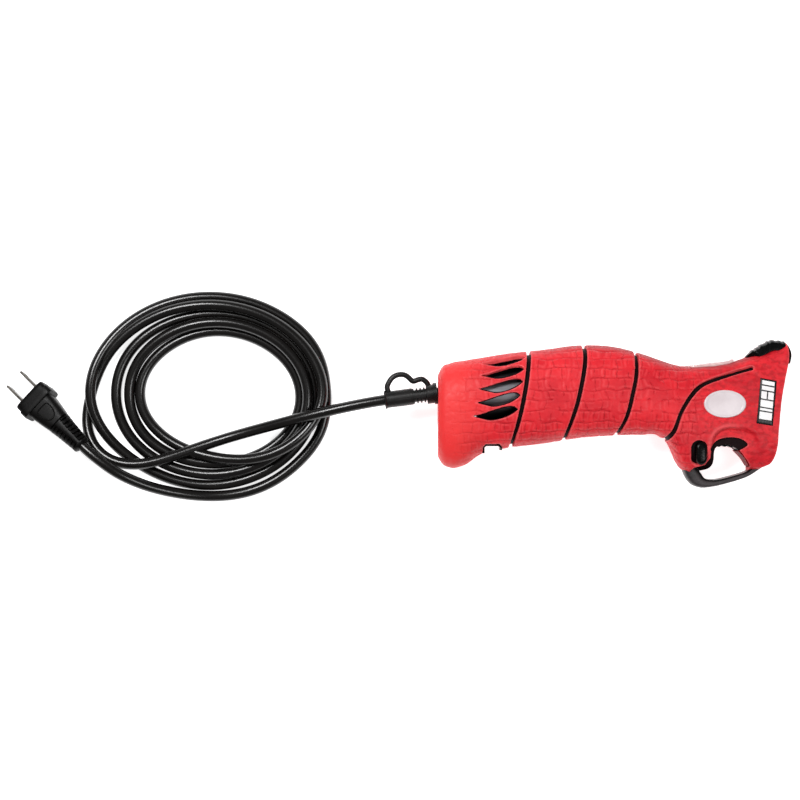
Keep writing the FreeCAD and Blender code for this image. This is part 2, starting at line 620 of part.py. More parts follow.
def lock_button():
    half = LOCK_LENGTH / 2
    shape = capsule(*LOCK, *LOCK_HALF, MID - half, MID + half)
    save("lock_button", shape.cut(box(LOCK[0] - 5, LOCK[0] + 5, LOCK[1] + 2.5, LOCK[1] + 9,
                                      MID - 4.5, MID + 4.5)))


# strain relief, cord and plug ---------------------------------------------------------

def tube_path(points, min_radius=0.0):
    """Straight runs joined by tangent arcs, each as large as its two runs allow."""
    points = [Vec(*p) for p in points]
    edges, radii, here = [], [], points[0]
    for before, at, after in zip(points, points[1:], points[2:]):
        way_in, way_out = at.sub(before), after.sub(at)
        turn = way_in.getAngle(way_out)
        back = 0.45 * min(way_in.Length, way_out.Length)
        radius = back / math.tan(turn / 2)
        radii.append(radius)
        start = at.sub(Vec(way_in).normalize().multiply(back))
        end = at.add(Vec(way_out).normalize().multiply(back))
        to_middle = start.add(end).multiply(0.5).sub(at)
        depth = radius / math.cos(turn / 2) - radius
        middle = at.add(to_middle.normalize().multiply(depth))
        edges += [Part.makeLine(here, start), Part.Arc(start, middle, end).toShape()]
        here = end
    edges.append(Part.makeLine(here, points[-1]))
    print("  radii", " ".join(f"{r:.0f}" for r in radii), "smallest allowed", min_radius)
    return Part.Wire(edges)


def tube(points, diameter, min_radius=0.0):
    path = tube_path(points, min_radius)
    first = Vec(*points[1]).sub(Vec(*points[0]))
    circle = Part.Wire(Part.makeCircle(diameter / 2, Vec(*points[0]), first))
    shape = path.makePipeShell([circle], True, True)
    expected = math.pi * diameter ** 2 / 4 * path.Length
    print(f"  length {path.Length:.0f}, volume over section times length {shape.Volume / expected:.4f}")
    return shape


def strain_relief():
    """A rubber sleeve with slots, a flange, and a wavy loop above it to hang the handle by."""
    long = RELIEF_LENGTH
    pieces = [
        relief_piece(RELIEF_RADIUS, 0.0, long - 1.0),
        relief_piece(RELIEF_RADIUS + 0.7, 0.0, 1.6),
        relief_piece(RELIEF_BLOCK, long - 5.2, long - 1.0),
        relief_piece(RELIEF_BLOCK + 1.0, long - 2.2, long - 0.6),
        relief_piece(RELIEF_NECK, long - 2.0, long + 8.0),
        relief_piece(RELIEF_NECK + 2.5, long + 6.4, long + 8.0),
    ]
    loop = tube([(x, y, MID) for x, y in LOOP], LOOP_WIRE)
    shape = joined([*pieces, loop])
    slope = math.degrees(math.atan2(RELIEF_DIRECTION.y, RELIEF_DIRECTION.x))
    slits = []
    for k in range(RELIEF_SLOTS):
        for side, start in ((1, 18.6), (-1, 19.4)):
            slit = box(-0.65, 0.65, -1.5, 1.5, -4.6, 4.6)
            slit.rotate(Vec(0, 0, 0), Vec(0, 0, 1), slope)
            slit.translate(relief_axis(start + 2.6 * k, side * (RELIEF_RADIUS + 0.4)))
            slits.append(slit)
    save("strain_relief", shape.cut(joined(slits)))


def cord_clamp():
    """A strap inside the housing that holds the cord's end, with its two screws."""
    centre = relief_axis(RELIEF_LENGTH + 12.0)
    strap = mid_box(centre.x - 2.5, centre.x + 2.5, centre.y - 9.0, centre.y + 9.0, 4.0)
    stub = relief_piece(2.9, RELIEF_LENGTH + 8.0, RELIEF_LENGTH + 16.5)
    save("cord_clamp", strap.cut(relief_piece(2.9, 30.0, 60.0)))
    save("cord_inner_end", stub)


def coil():
    """The outer shape of the loose coil of cord."""
    rings = []
    for x, y, half_x, half_y in (COIL_OUTSIDE, COIL_INSIDE):
        edge = Part.Ellipse(Vec(x, y, 0), half_x, half_y).toShape()
        rings.append(Part.Face(Part.Wire(edge)).extrude(Vec(0, 0, COIL_HEIGHT)))
    outer, inner = rings
    save("cord_coil", outer.cut(inner))


def plug():
    """A two-pin plug that leans on its blade tips, the cord's boot at its back."""
    length, width, thick, spacing = BLADE
    flange = Part.makeBox(10.5, 25.0, 17.0, Vec(-10.5, -12.5, -8.5))
    flange = flange.makeFillet(4.0, [e for e in flange.Edges if abs(e.tangentAt(0).x) > 0.9])
    rings = []
    for x, half_y, half_z in ((-10.5, 10.4, 7.2), (-24.0, 8.6, 6.6), (-34.0, 6.2, 5.6)):
        ring = Part.Ellipse(Vec(x, 0, 0), half_y, half_z)
        edge = ring.toShape()
        edge.rotate(Vec(x, 0, 0), Vec(0, 1, 0), 90)
        edge.rotate(Vec(x, 0, 0), Vec(1, 0, 0), 90)
        rings.append(Part.Wire(edge))
    neck = Part.makeLoft(rings, True, True)
    boot = Part.makeCone(4.4, 5.4, PLUG_LENGTH - 33.0, Vec(-PLUG_LENGTH, 0, 0), Vec(1, 0, 0))
    ribs = [Part.makeCylinder(5.9, 1.6, Vec(-36.6 - 2.5 * k, 0, 0), Vec(1, 0, 0)) for k in range(5)]
    shape = joined([flange, neck, boot, *ribs])
    blades = []
    for side in (-1, 1):
        blade = Part.makeBox(length, thick, width, Vec(0, side * spacing / 2 - thick / 2, -width / 2))
        blade = blade.cut(Part.makeCylinder(1.6, 4, Vec(length - 3.9, side * spacing / 2 - 2, 0),
                                            Vec(0, 1, 0)))
        blades.append(blade)
    blades = Part.makeCompound(blades)
    end = Vec(*TAIL[-1])
    place = FreeCAD.Placement(end, FreeCAD.Rotation(PLUG_YAW, PLUG_PITCH, 0), Vec(0, 0, 0))
    for name, part in (("plug_body", shape), ("plug_blades", blades)):
        part.translate(Vec(PLUG_LENGTH, 0, 0))
        part = part.copy()
        part.Placement = place.multiply(part.Placement)
        print("  lowest", round(part.optimalBoundingBox(False).ZMin, 2))
        save(name, part)


skins()
housings()
guard()
trim()
fasteners()
motor()
rotor()
worm()
gear()
gear_frame()
carrier("upper_blade_carrier", 1)
carrier("lower_blade_carrier", -1)
carrier_guides()
trigger()
lock_button()
strain_relief()
cord_clamp()
save("cord_lead", tube(LEAD, CORD, MIN_BEND * CORD))
save("cord_tail", tube(TAIL, CORD, MIN_BEND * CORD))
coil()
plug()
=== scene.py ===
import json
import math

import bpy
import numpy as np
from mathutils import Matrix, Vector, noise


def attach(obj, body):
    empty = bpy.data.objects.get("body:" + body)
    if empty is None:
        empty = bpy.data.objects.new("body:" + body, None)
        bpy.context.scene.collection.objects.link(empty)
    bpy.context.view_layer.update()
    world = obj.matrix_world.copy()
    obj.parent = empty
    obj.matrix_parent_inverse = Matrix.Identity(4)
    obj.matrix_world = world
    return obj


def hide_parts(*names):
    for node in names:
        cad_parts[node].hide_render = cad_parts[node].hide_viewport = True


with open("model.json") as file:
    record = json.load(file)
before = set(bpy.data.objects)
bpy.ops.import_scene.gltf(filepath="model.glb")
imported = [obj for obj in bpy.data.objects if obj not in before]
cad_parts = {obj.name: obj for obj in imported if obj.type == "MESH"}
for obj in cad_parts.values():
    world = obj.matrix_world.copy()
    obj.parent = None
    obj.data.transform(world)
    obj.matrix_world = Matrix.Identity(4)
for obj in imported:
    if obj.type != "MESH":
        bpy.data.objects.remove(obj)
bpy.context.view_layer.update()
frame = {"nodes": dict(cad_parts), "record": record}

# All the values below are millimetres in the row frame, as in the CAD.
MM = 0.001
MID = 24.0                 # height of the handle's mid-plane
SQUARENESS = 2.7
SKIN = 2.2                 # thickness of the red overmould
SKIN_STEP = 0.7            # size of the overmould's quads
CELL = (8.2, 6.9)          # length and height of the overmould's grain cells
GRAIN_MIDDLE = 5.0         # height at which the rows of cells are counted from
EDGE_ROUND = 0.45          # how far the overmould's edges roll over
SEED = 7                   # gives the same grain on each run
STATIONS = [               # x, spine, belly, half width
    (-112.5, 25, -28, 18.5), (-110.5, 29, -31.5, 20.6), (-105, 32.2, -34.8, 22.6),
    (-96, 34, -33.4, 23.6), (-85, 35.8, -26.2, 24), (-70, 38.3, -22.6, 24), (-45, 41, -19.4, 24),
    (-20, 43.9, -15.6, 23.8), (0, 42.9, -14.2, 23), (18, 38.5, -13.8, 21.8), (29, 34.7, -14.4, 20.6),
    (36, 32.3, -21, 19.8), (41, 31, -32.5, 19.1), (47, 30.3, -38, 18.3), (60, 30.4, -38.6, 17.2),
    (73, 32.2, -37.6, 16.6), (88, 37, -36.8, 16.1), (102, 41.6, -36.4, 15.6), (118, 50, -36, 15),
]
NOSE_EDGE = [
    (107.4, 54), (110.6, 45.6), (111.4, 36), (108.6, 22.2), (106.2, 9), (104.6, -8), (103.6, -22),
    (100.6, -31.2), (94.4, -34.9), (86, -39.5),
]
OPENING = [
    (66.6, -20.5), (76.8, -21.5), (83.3, -28.3), (86.8, -34.6), (83.6, -38.1), (74.6, -40.6),
    (66, -42.4), (58.6, -42), (55.4, -37.2), (59.5, -35.7), (62.4, -33), (63.3, -27.1), (64.2, -22.4),
]
LINER = [
    (65, -19), (61.4, -23), (60.7, -28.6), (57.6, -33), (51, -34.6), (48.6, -37),
    (49.5, -41), (62, -41), (66, -30),
]
SKIN_SCOOP = [
    (61.5, -24), (62.6, -19.6), (66.4, -16.4), (72, -15.1), (78, -15.4), (82.6, -17.2),
    (84.8, -19.8), (82.6, -21.8), (79, -23.6), (72, -25),
]
DISH = [
    (61.5, -30), (60.8, -18), (64.6, -11), (71, -8.2), (79, -8.4), (86.6, -10.4),
    (91, -15), (92, -24), (91, -45), (64, -45),
]
DISH_HALF_WIDTH = 14.0
DISH_RIM = 2.6             # width of the slope into the dish
GROOVE_HALF = 1.4
GROOVES = [
    [(-54.2, 46), (-55.2, 33), (-57.2, 17), (-61, -2.3), (-67, -26)],
    [(-19.2, 50), (-19.6, 32), (-23.5, 10.6), (-27.1, -2.3), (-33.4, -22)],
    [(14.2, 46), (13.4, 27), (10.6, 11.9), (6.4, -4.2), (-2, -21)],
    [(32, -18), (37.6, -10.3), (43.3, 3.5), (53.9, 17.2), (70, 24), (87.2, 29.1)],
]
VENTS = [                  # tips, then how far the lower and upper edge bulge
    ((-84.4, 32.0), (-57.6, 36.3), 3.0, 0.7),
    ((-85.5, 24.4), (-58.5, 28.5), 3.3, 2.3),
    ((-87.1, 15.9), (-59.4, 20.4), 4.1, 2.1),
    ((-88.2, 7.1), (-61.1, 11.6), 4.0, 2.2),
    ((-90.7, -1.5), (-62.7, 2.6), 4.1, 2.4),
]
LEAF_LOW = [(0.16, 0.42), (0.4, 1.0), (0.72, 0.8), (0.92, 0.3)]
LEAF_HIGH = [(0.94, 0.75), (0.74, 1.0), (0.46, 0.55), (0.2, 0.0)]
VENT_RIM = 0.6
NOTCH = [(-84.1, -60), (-84.1, -21.4), (-82.3, -19.6), (-73.6, -19.6), (-71.8, -21.4), (-71.8, -60)]
LOCK = (54.8, -25.1)
LOCK_HALF = (3.5, 7.3)
LOCK_LENGTH = 36.4
LOCK_RECESS = (53.3, -25.1, 5.0, 8.2)
GUARD_OUTER = [
    (44.2, -34.6), (45.2, -38.2), (47.6, -42.8), (51.2, -46.2), (57.2, -47.7), (65.3, -46.7),
    (73, -44.8), (80.9, -42.5), (87, -40.1), (92.6, -36.6), (98, -32.8),
]
GUARD_INNER = [
    (52.6, -34), (54, -36), (55.8, -38.6), (57.6, -41.2), (60.4, -42.4), (66, -42.5),
    (73, -41), (80.5, -38.9), (85.6, -37), (90, -34), (96.8, -32),
]
GUARD_HALF = 8.0
TRIGGER = [
    (64.4, -21.6), (66.0, -20.9), (67.6, -21.5), (69.4, -20.7), (71.2, -21.4), (73.2, -20.9),
    (75.2, -21.9), (77.2, -21.7), (79.0, -23.1), (80.8, -23.2), (84, -21), (86.2, -16.5),
    (85.4, -12.2), (82, -11), (78.6, -12.6), (63.2, -13.9), (62.8, -18),
]
TRIGGER_HALF = 6.5
PAD_TOP = [(85, 36.6), (86.6, 38.3), (89.4, 40.8), (94.5, 44), (101, 47.2), (106.1, 47),
           (110, 46), (112.8, 43.2), (113.8, 39.6), (113, 34.6)]
PAD_HALF = 8.0
LENS_TOP = [(46.9, 31.2), (58, 32.8), (72, 34.5), (75.4, 35.6), (76.6, 36.1), (77.2, 35.6)]
LENS_HALF = 4.5
SCREWS = [(-101, -22), (-24, 33), (-38, -10.5), (38, 20), (47.5, -31.5), (93, 28)]
SCREW_HOLE = 3.2
BADGE = (69.8, 6.2, 13.5, 8.8)
LABEL = [(92.6, 22.8), (102.9, 20.9), (100.3, -7.8), (89.9, -6.1)]
PROUD = 0.8
RELIEF_END = (-147.0, 8.6)
RELIEF_FLANGE = (-113.2, 13.05)
RELIEF_RADIUS = 5.35
FLANGE_HOLE = 6.8          # radius of the overmould's hole for the flange
LOOP_RADIUS = 1.75
LOOP = [(-143.6, 12), (-145.2, 16.5), (-144.1, 20.1), (-141.8, 23.1), (-139, 24.7), (-135.9, 25.1),
        (-133.5, 24.6), (-131.6, 23.3), (-129.5, 21.3), (-128, 20.8), (-125.8, 21.6), (-123, 22.1),
        (-120.9, 21), (-119.3, 19.2), (-117.4, 14.8)]
CORD = 7.0
CORD_STEP = 12.0           # between the cord's points
CORD_EASING = 2
LEAD = [
    (-147, 8.6, 24), (-158, 7.15, 24), (-172, 4, 23.4), (-188, 0.6, 21.4), (-205, -3.8, 18.6),
    (-222, -8.4, 12.6), (-240, -13.2, 7.4), (-257, -18.2, 6.4), (-278, -25.6, 9), (-294, -31.3, 11.6),
    (-309.5, -35.2, 12), (-323.8, -33.4, 12), (-335.2, -26.0, 10), (-342, -14.6, 6.8),
    (-343, -1, 3.8),
]
TAIL = [
    (-182.4, 6, 5), (-184.6, -6.4, 4.6), (-191.2, -19, 4.2), (-201.6, -31.4, 4), (-214, -42, 4),
    (-228.6, -50, 4), (-245, -54, 4.2), (-262, -54.6, 4.8), (-279, -52.8, 8.4), (-295, -49.2, 13.8),
    (-309, -44.4, 19.6), (-320.6, -38.4, 24.1), (-332.4, -29.55, 24.66), (-341.6, -21, 21.3),
]
COIL = (-261.0, 11.0, 79.4, 66.0)      # centre x, y, half width, half height of the outermost turn
COIL_POINTS = 16                       # points per turn
TURNS = [                              # (inwards from the outermost, height) at eight places
    [(1.5, 3.8), (5, 7), (5.5, 10.4), (5, 10.6), (3, 13), (14, 17.6), (26.5, 9), (31.5, 4)],
    [(31, 3.8), (28, 3.8), (22, 3.8), (20, 3.8), (17.6, 3.8), (19, 3.8), (21, 3.8), (23, 3.8)],
    [(25, 3.8), (21, 7), (16.5, 10.4), (14.5, 10.4), (13, 10.4), (13.5, 10), (14, 6), (15.6, 3.8)],
    [(16.4, 3.8), (13, 3.8), (11, 3.8), (9.5, 3.8), (9, 3.8), (8.5, 3.8), (7, 3.8), (7.4, 4.2)],
    [(0, 11), (0, 4.4), (0, 3.8), (0, 3.8), (0, 4.6)],
]
PLUG_YAW = 137.1
PLUG_PITCH = 15.0
PLUG_LENGTH = 49.5
NODE_FINISHES = {          # CAD nodes whose finish isn't the one of their slot
    # the motor can's steel is darkened as painted shade inside the handle
    "motor_can": "shaded_motor_steel", "housing_right": "groove_black", "housing_left": "groove_black",
}
CAMERA = (-0.13696, 0.00868, 1.454)


# ---------------- lines, outlines and distances

def smooth_line(points, closed=False, steps=10):
    """Points along a smooth curve through the given ones."""
    points = np.array(points, float)
    if closed:
        framed = np.vstack([points[-1], points, points[:2]])
    else:
        framed = np.vstack([2 * points[0] - points[1], points, 2 * points[-1] - points[-2]])
    shares = np.linspace(0, 1, steps, endpoint=False)[:, None]
    line = []
    for k in range(1, len(framed) - 2):
        a, b, c, d = framed[k - 1:k + 3]
        line.append(0.5 * (2 * b + (c - a) * shares + (2 * a - 5 * b + 4 * c - d) * shares ** 2
                           + (3 * b - a - 3 * c + d) * shares ** 3))
    if not closed:
        line.append(points[-1:])
    return np.vstack(line)


def evenly(line, count):
    """Points at even steps along a line, and how far along it each one is."""
    line = np.array(line, float)
    run = np.concatenate([[0], np.cumsum(np.linalg.norm(np.diff(line, axis=0), axis=1))])
    even = np.linspace(0, run[-1], count)
    return np.stack([np.interp(even, run, column) for column in line.T], axis=1), even


def full_turn(count):
    """Angles of evenly spaced places round a circle."""
    return np.linspace(0, 2 * math.pi, count, endpoint=False)


def squared(share, squareness):
    """A cosine or sine, changed so that it draws a rounded square and not a circle."""
    return np.copysign(np.abs(share) ** (2 / squareness), share)


def line_distance(x, y, line, closed=False):
    """How far each point is from a line of points."""
    starts = line if closed else line[:-1]
    ends = np.roll(line, -1, axis=0) if closed else line[1:]
    nearest = np.full(x.shape, 1e9)
    for (x0, y0), (x1, y1) in zip(starts, ends):
        dx, dy = x1 - x0, y1 - y0
        along = ((x - x0) * dx + (y - y0) * dy) / max(dx * dx + dy * dy, 1e-12)
        along = np.clip(along, 0, 1)
        nearest = np.minimum(nearest, np.hypot(x - x0 - along * dx, y - y0 - along * dy))
    return nearest


def outside_of(x, y, outline):
    """The distance to a closed outline, negative inside it."""
    within = np.zeros(x.shape, bool)
    for (x0, y0), (x1, y1) in zip(outline, np.roll(outline, -1, axis=0)):
        if y0 == y1:
            continue
        crosses = (y0 > y) != (y1 > y)
        within ^= crosses & (x < (x1 - x0) * (y - y0) / (y1 - y0) + x0)
    return np.where(within, -1, 1) * line_distance(x, y, outline, closed=True)


def leaf(start, end, low, high, grow=0.0):
    """A vent's outline, from tip to tip."""
    start, end = np.array(start), np.array(end)
    long = np.linalg.norm(end - start)
    along = (end - start) / long
    across = np.array([-along[1], along[0]])
    under = [start + along * share * long - across * (low * off + grow) for share, off in LEAF_LOW]
    over = [start + along * share * long + across * (high * off + grow) for share, off in LEAF_HIGH]
    rear, front = start - along * grow, end + along * grow
    lower = smooth_line([rear, *under, front])
    upper = smooth_line([front, *over, rear])
    return np.vstack([lower[:-1], upper[:-1]])


def capsule(x, y, centre_x, centre_y, half_x, half_y):
    """The distance to an upright capsule, negative inside it."""
    reach = half_y - half_x
    off = np.maximum(np.abs(y - centre_y) - reach, 0)
    return np.hypot(x - centre_x, off) - half_x


# ---------------- the handle's surface

def station(x):
    """Spine, belly and half width at x, smooth between the stations."""
    table = np.array(STATIONS, float)
    xs = table[:, 0]
    result = []
    for column in (1, 2, 3):
        values = table[:, column]
        slopes = np.gradient(values, xs)
        k = np.clip(np.searchsorted(xs, x) - 1, 0, len(xs) - 2)
        gap = xs[k + 1] - xs[k]
        t = np.clip((x - xs[k]) / gap, 0, 1)
        first = (2 * t ** 3 - 3 * t ** 2 + 1) * values[k] + (t ** 3 - 2 * t ** 2 + t) * gap * slopes[k]
        second = (3 * t ** 2 - 2 * t ** 3) * values[k + 1] + (t ** 3 - t ** 2) * gap * slopes[k + 1]
        result.append(first + second)
    return result


DISH_LINE = smooth_line(DISH, closed=True, steps=6)


def half_width_at(x, y):
    """Half the handle's width at a place on its flank."""
    spine, belly, wide = station(x)
    centre, tall = (spine + belly) / 2, (spine - belly) / 2
    off = np.clip(np.abs((y - centre) / tall), 0, 0.999)
    width = wide * (1 - off ** SQUARENESS) ** (1 / SQUARENESS)
    into = np.clip(-outside_of(x, y, DISH_LINE) / DISH_RIM, 0, 1)
    into = into * into * (3 - 2 * into)
    return np.where(width > DISH_HALF_WIDTH, width + (DISH_HALF_WIDTH - width) * into, width)


def handle_grid():
    """Points over one flank, from the butt's middle to the nose and from spine to belly."""
    angles = np.linspace(0, math.pi, 900)
    up, out = squared(np.cos(angles), SQUARENESS), squared(np.sin(angles), SQUARENESS)
    rows = int(118 / SKIN_STEP)
    xs = np.arange(STATIONS[0][0], 114.5, SKIN_STEP)
    ends = np.linspace(0.004, 1, 30, endpoint=False)
    columns, arcs = [], []
    for x, scale in [(STATIONS[0][0], share) for share in ends] + [(x, 1.0) for x in xs]:
        spine, belly, wide = station(np.array(x))
        centre, tall = (spine + belly) / 2, (spine - belly) / 2
        y = centre + tall * up * scale
        z = wide * out * scale
        spots, even = evenly(np.stack([y, z], axis=1), rows)
        columns.append(np.column_stack([np.full(rows, x), spots]))
        middle = np.interp(GRAIN_MIDDLE, spots[::-1, 0], even[::-1])
        arcs.append(middle - even)
    return np.array(columns), np.array(arcs), len(ends)


def grid_normals(grid):
    """Unit normals of a grid of points, pointing outwards."""
    along = np.gradient(grid, axis=0)
    down = np.gradient(grid, axis=1)
    normal = np.cross(down, along)
    length = np.linalg.norm(normal, axis=2, keepdims=True)
    return normal / np.maximum(length, 1e-9)


# ---------------- meshes

def add_object(name, data):
    """An object of the scene that shows a mesh, curve, camera or light."""
    made = bpy.data.objects.new(name, data)
    bpy.context.scene.collection.objects.link(made)
    return made


def mesh_object(name, points, faces, finish, sharp=0.7):
    """An object from points in millimetres, smooth except where it turns sharply."""
    mesh = bpy.data.meshes.new(name)
    mesh.from_pydata([tuple(p) for p in np.asarray(points, float) * MM], [], faces)
    mesh.validate()
    mesh.update()
    mesh.shade_smooth()
    mesh.set_sharp_from_angle(angle=sharp)
    mesh.materials.append(finishes[finish])
    return add_object(name, mesh)


def place(piece, slot, *nodes, body="root"):
    """The piece rides on a body and stands for CAD nodes, which it hides; its slot is not used."""
    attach(piece, body)
    if nodes:
        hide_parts(*nodes)
    return piece


def tubes(name, finish, *tube_list):
    """An object of closed tubes. Each is a list of rings with the same number of points."""
    points, faces = [], []
    for rings in tube_list:
        base, count = len(points), len(rings[0])
        for ring in rings:
            points.extend(ring)
        last = len(points) - count
        for start in range(base, last, count):
            for k in range(count):
                a, b = start + k, start + (k + 1) % count
                faces.append((a, b, b + count, a + count))
        faces.append(tuple(range(base + count - 1, base - 1, -1)))
        faces.append(tuple(range(last, last + count)))
    return mesh_object(name, points, faces, finish)


def signed_area(outline):
    """Twice an outline's area, negative where it runs clockwise."""
    after = np.roll(outline, -1, axis=0)
    return np.sum(outline[:, 0] * after[:, 1] - after[:, 0] * outline[:, 1])


def inset_outline(outline, amount):
    """The outline moved inwards by a small amount."""
    along = np.roll(outline, -1, axis=0) - np.roll(outline, 1, axis=0)
    along /= np.maximum(np.linalg.norm(along, axis=1, keepdims=True), 1e-9)
    inward = np.stack([-along[:, 1], along[:, 0]], axis=1)
    return outline + inward * amount * np.sign(signed_area(outline))


def slab_rings(outline, low, high, rounding):
    """Rings of a plate between two heights, with rounded edges."""
    if signed_area(outline) < 0:
        outline = outline[::-1]
    quarter = np.linspace(0, math.pi / 2, 5)
    places = [(angle, low + rounding * (1 - math.cos(angle))) for angle in quarter]
    places += [(angle, high - rounding * (1 - math.cos(angle))) for angle in quarter[::-1]]
    rings = []
    for angle, height in places:
        ring = inset_outline(outline, rounding * (1 - math.sin(angle)))
        rings.append([(x, y, height) for x, y in ring])
    return rings


def slab(name, outline, low, high, rounding, finish):
    """A plate of an outline with rounded edges."""
    return tubes(name, finish, slab_rings(np.asarray(outline, float), low, high, rounding))


def tube_rings(line, radius, count=16):
    """Rings round a line of points."""
    line = np.asarray(line, float)
    along = np.gradient(line, axis=0)
    along /= np.linalg.norm(along, axis=1, keepdims=True)
    side = np.cross(along, [0, 0, 1.0])
    side /= np.linalg.norm(side, axis=1, keepdims=True)
    top = np.cross(side, along)
    angles = full_turn(count)
    return [[line[k] + radius * (math.cos(a) * side[k] + math.sin(a) * top[k]) for a in angles]
            for k in range(len(line))]


def clipped_faces(rows, wide, keeps, crossing):
    """A grid's faces where keeps is above zero, cut at the crossings."""
    faces = []
    for i in range(rows - 1):
        for j in range(wide - 1):
            a = i * wide + j
            corners = (a, a + 1, a + wide + 1, a + wide)
            inside = [keeps[c] > 0 for c in corners]
            if all(inside):
                faces.append(corners)
            elif any(inside):
                face = []
                for k, corner in enumerate(corners):
                    after = corners[(k + 1) % 4]
                    if inside[k]:
                        face.append(corner)
                    if inside[k] != (keeps[after] > 0):
                        face.append(crossing(corner, after))
                faces.append(tuple(face))
    return faces


def clipped_shell(name, grid, normals, keep, values, finish, thick):
    """A closed shell of a grid, cut where keep falls below zero, with its values kept."""
    points = list(grid.reshape(-1, 3))
    inner = list((grid - normals * thick).reshape(-1, 3))
    keeps = keep.ravel()
    carried = {key: list(value.reshape(len(points), -1)) for key, value in values.items()}
    cuts = {}

    def crossing(a, b):
        key = (min(a, b), max(a, b))
        if key not in cuts:
            share = keeps[key[0]] / (keeps[key[0]] - keeps[key[1]])
            cuts[key] = len(points)
            for rows in (points, inner, *carried.values()):
                rows.append(rows[key[0]] + (rows[key[1]] - rows[key[0]]) * share)
        return cuts[key]

    faces = clipped_faces(*grid.shape[:2], keeps, crossing)
    used = sorted({corner for face in faces for corner in face})
    number = {old: new for new, old in enumerate(used)}
    count = len(used)
    outer = [tuple(number[c] for c in face) for face in faces]
    edges = {pair for face in outer for pair in zip(face, face[1:] + face[:1])}
    walls = [(b, a, a + count, b + count) for a, b in edges if (b, a) not in edges]
    back = [tuple(c + count for c in reversed(face)) for face in outer]
    spread = [points[c] for c in used] + [inner[c] for c in used]
    piece = mesh_object(name, spread, outer + back + walls, finish, sharp=0.9)
    for key, rows in carried.items():
        kept = np.array([rows[c] for c in used] * 2)
        kind = "FLOAT" if kept.shape[1] == 1 else "FLOAT_VECTOR"
        attribute = piece.data.attributes.new(key, kind, "POINT")
        attribute.data.foreach_set("value" if kind == "FLOAT" else "vector", kept.ravel())
    return piece


# ---------------- materials

class Finish:
    """A procedural material under construction."""

    def __init__(self, name):
        self.made = bpy.data.materials.new(name)
        self.made.use_nodes = True
        self.nodes, self.links = self.made.node_tree.nodes, self.made.node_tree.links
        self.shader = self.nodes["Principled BSDF"]
        self.where = self.nodes.new("ShaderNodeTexCoord").outputs["Object"]

    def noise(self, scale, detail, stretch=(1, 1, 1)):
        """A noise texture over the object."""
        mapping = self.nodes.new("ShaderNodeMapping")
        mapping.inputs["Scale"].default_value = stretch
        self.links.new(self.where, mapping.inputs["Vector"])
        texture = self.nodes.new("ShaderNodeTexNoise")
        texture.inputs["Scale"].default_value = scale
        texture.inputs["Detail"].default_value = detail
        self.links.new(mapping.outputs["Vector"], texture.inputs["Vector"])
        return texture.outputs["Fac"]

    def attribute(self, name, output="Fac"):
        """A value that the mesh carries at its points."""
        node = self.nodes.new("ShaderNodeAttribute")
        node.attribute_name = name
        return node.outputs[output]

    def ramp(self, factor, low, high, start=0.35, end=0.65):
        """A colour that runs from low to high with a factor."""
        node = self.nodes.new("ShaderNodeValToRGB")
        first, last = node.color_ramp.elements
        first.position, first.color = start, (*low, 1)
        last.position, last.color = end, (*high, 1)
        self.links.new(factor, node.inputs["Fac"])
        return node.outputs["Color"]

    def ranged(self, factor, low, high, start=0.3, end=0.7):
        """A number that runs from low to high with a factor."""
        node = self.nodes.new("ShaderNodeMapRange")
        node.inputs["From Min"].default_value = start
        node.inputs["From Max"].default_value = end
        node.inputs["To Min"].default_value = low
        node.inputs["To Max"].default_value = high
        self.links.new(factor, node.inputs["Value"])
        return node.outputs["Result"]

    def blend(self, factor, colour, other, most):
        """A colour that goes towards another one, by most where the factor is 1."""
        node = self.nodes.new("ShaderNodeMix")
        node.data_type = "RGBA"
        node.inputs["B"].default_value = (*other, 1)
        self.links.new(self.ranged(factor, 0.0, most, 0.0, 1.0), node.inputs["Factor"])
        self.links.new(colour, node.inputs["A"])
        return node.outputs["Result"]

    def math(self, operation, first, second):
        """The sum, difference or product of two values."""
        node = self.nodes.new("ShaderNodeMath")
        node.operation = operation
        for socket, value in zip(node.inputs, (first, second)):
            if isinstance(value, float):
                socket.default_value = value
            else:
                self.links.new(value, socket)
        return node.outputs[0]

    def feed(self, socket, value):
        """Joins a value to one of the shader's sockets."""
        self.links.new(value, self.shader.inputs[socket])

    def bump(self, height, distance, below=None):
        """Raises the surface by a height texture, on top of the bump below it."""
        node = self.nodes.new("ShaderNodeBump")
        node.inputs["Distance"].default_value = distance * MM
        self.links.new(height, node.inputs["Height"])
        if below is not None:
            self.links.new(below, node.inputs["Normal"])
        self.feed("Normal", node.outputs["Normal"])
        return node.outputs["Normal"]


def moulded(name, low, high, rough, grain=0.9, height=0.06, metallic=0.0, specular=0.5,
            stretch=(1, 1, 1)):
    """A finish with a fine grain, slight colour variation and uneven gloss."""
    finish = Finish(name)
    broad = finish.noise(90.0, 4.0, stretch)
    fine = finish.noise(1000.0 / grain, 4.0, stretch)
    finish.feed("Base Color", finish.ramp(broad, low, high))
    finish.feed("Roughness", finish.ranged(fine, *rough))
    finish.shader.inputs["Metallic"].default_value = metallic
    finish.shader.inputs["Specular IOR Level"].default_value = specular
    finish.bump(fine, height)
    return finish.made


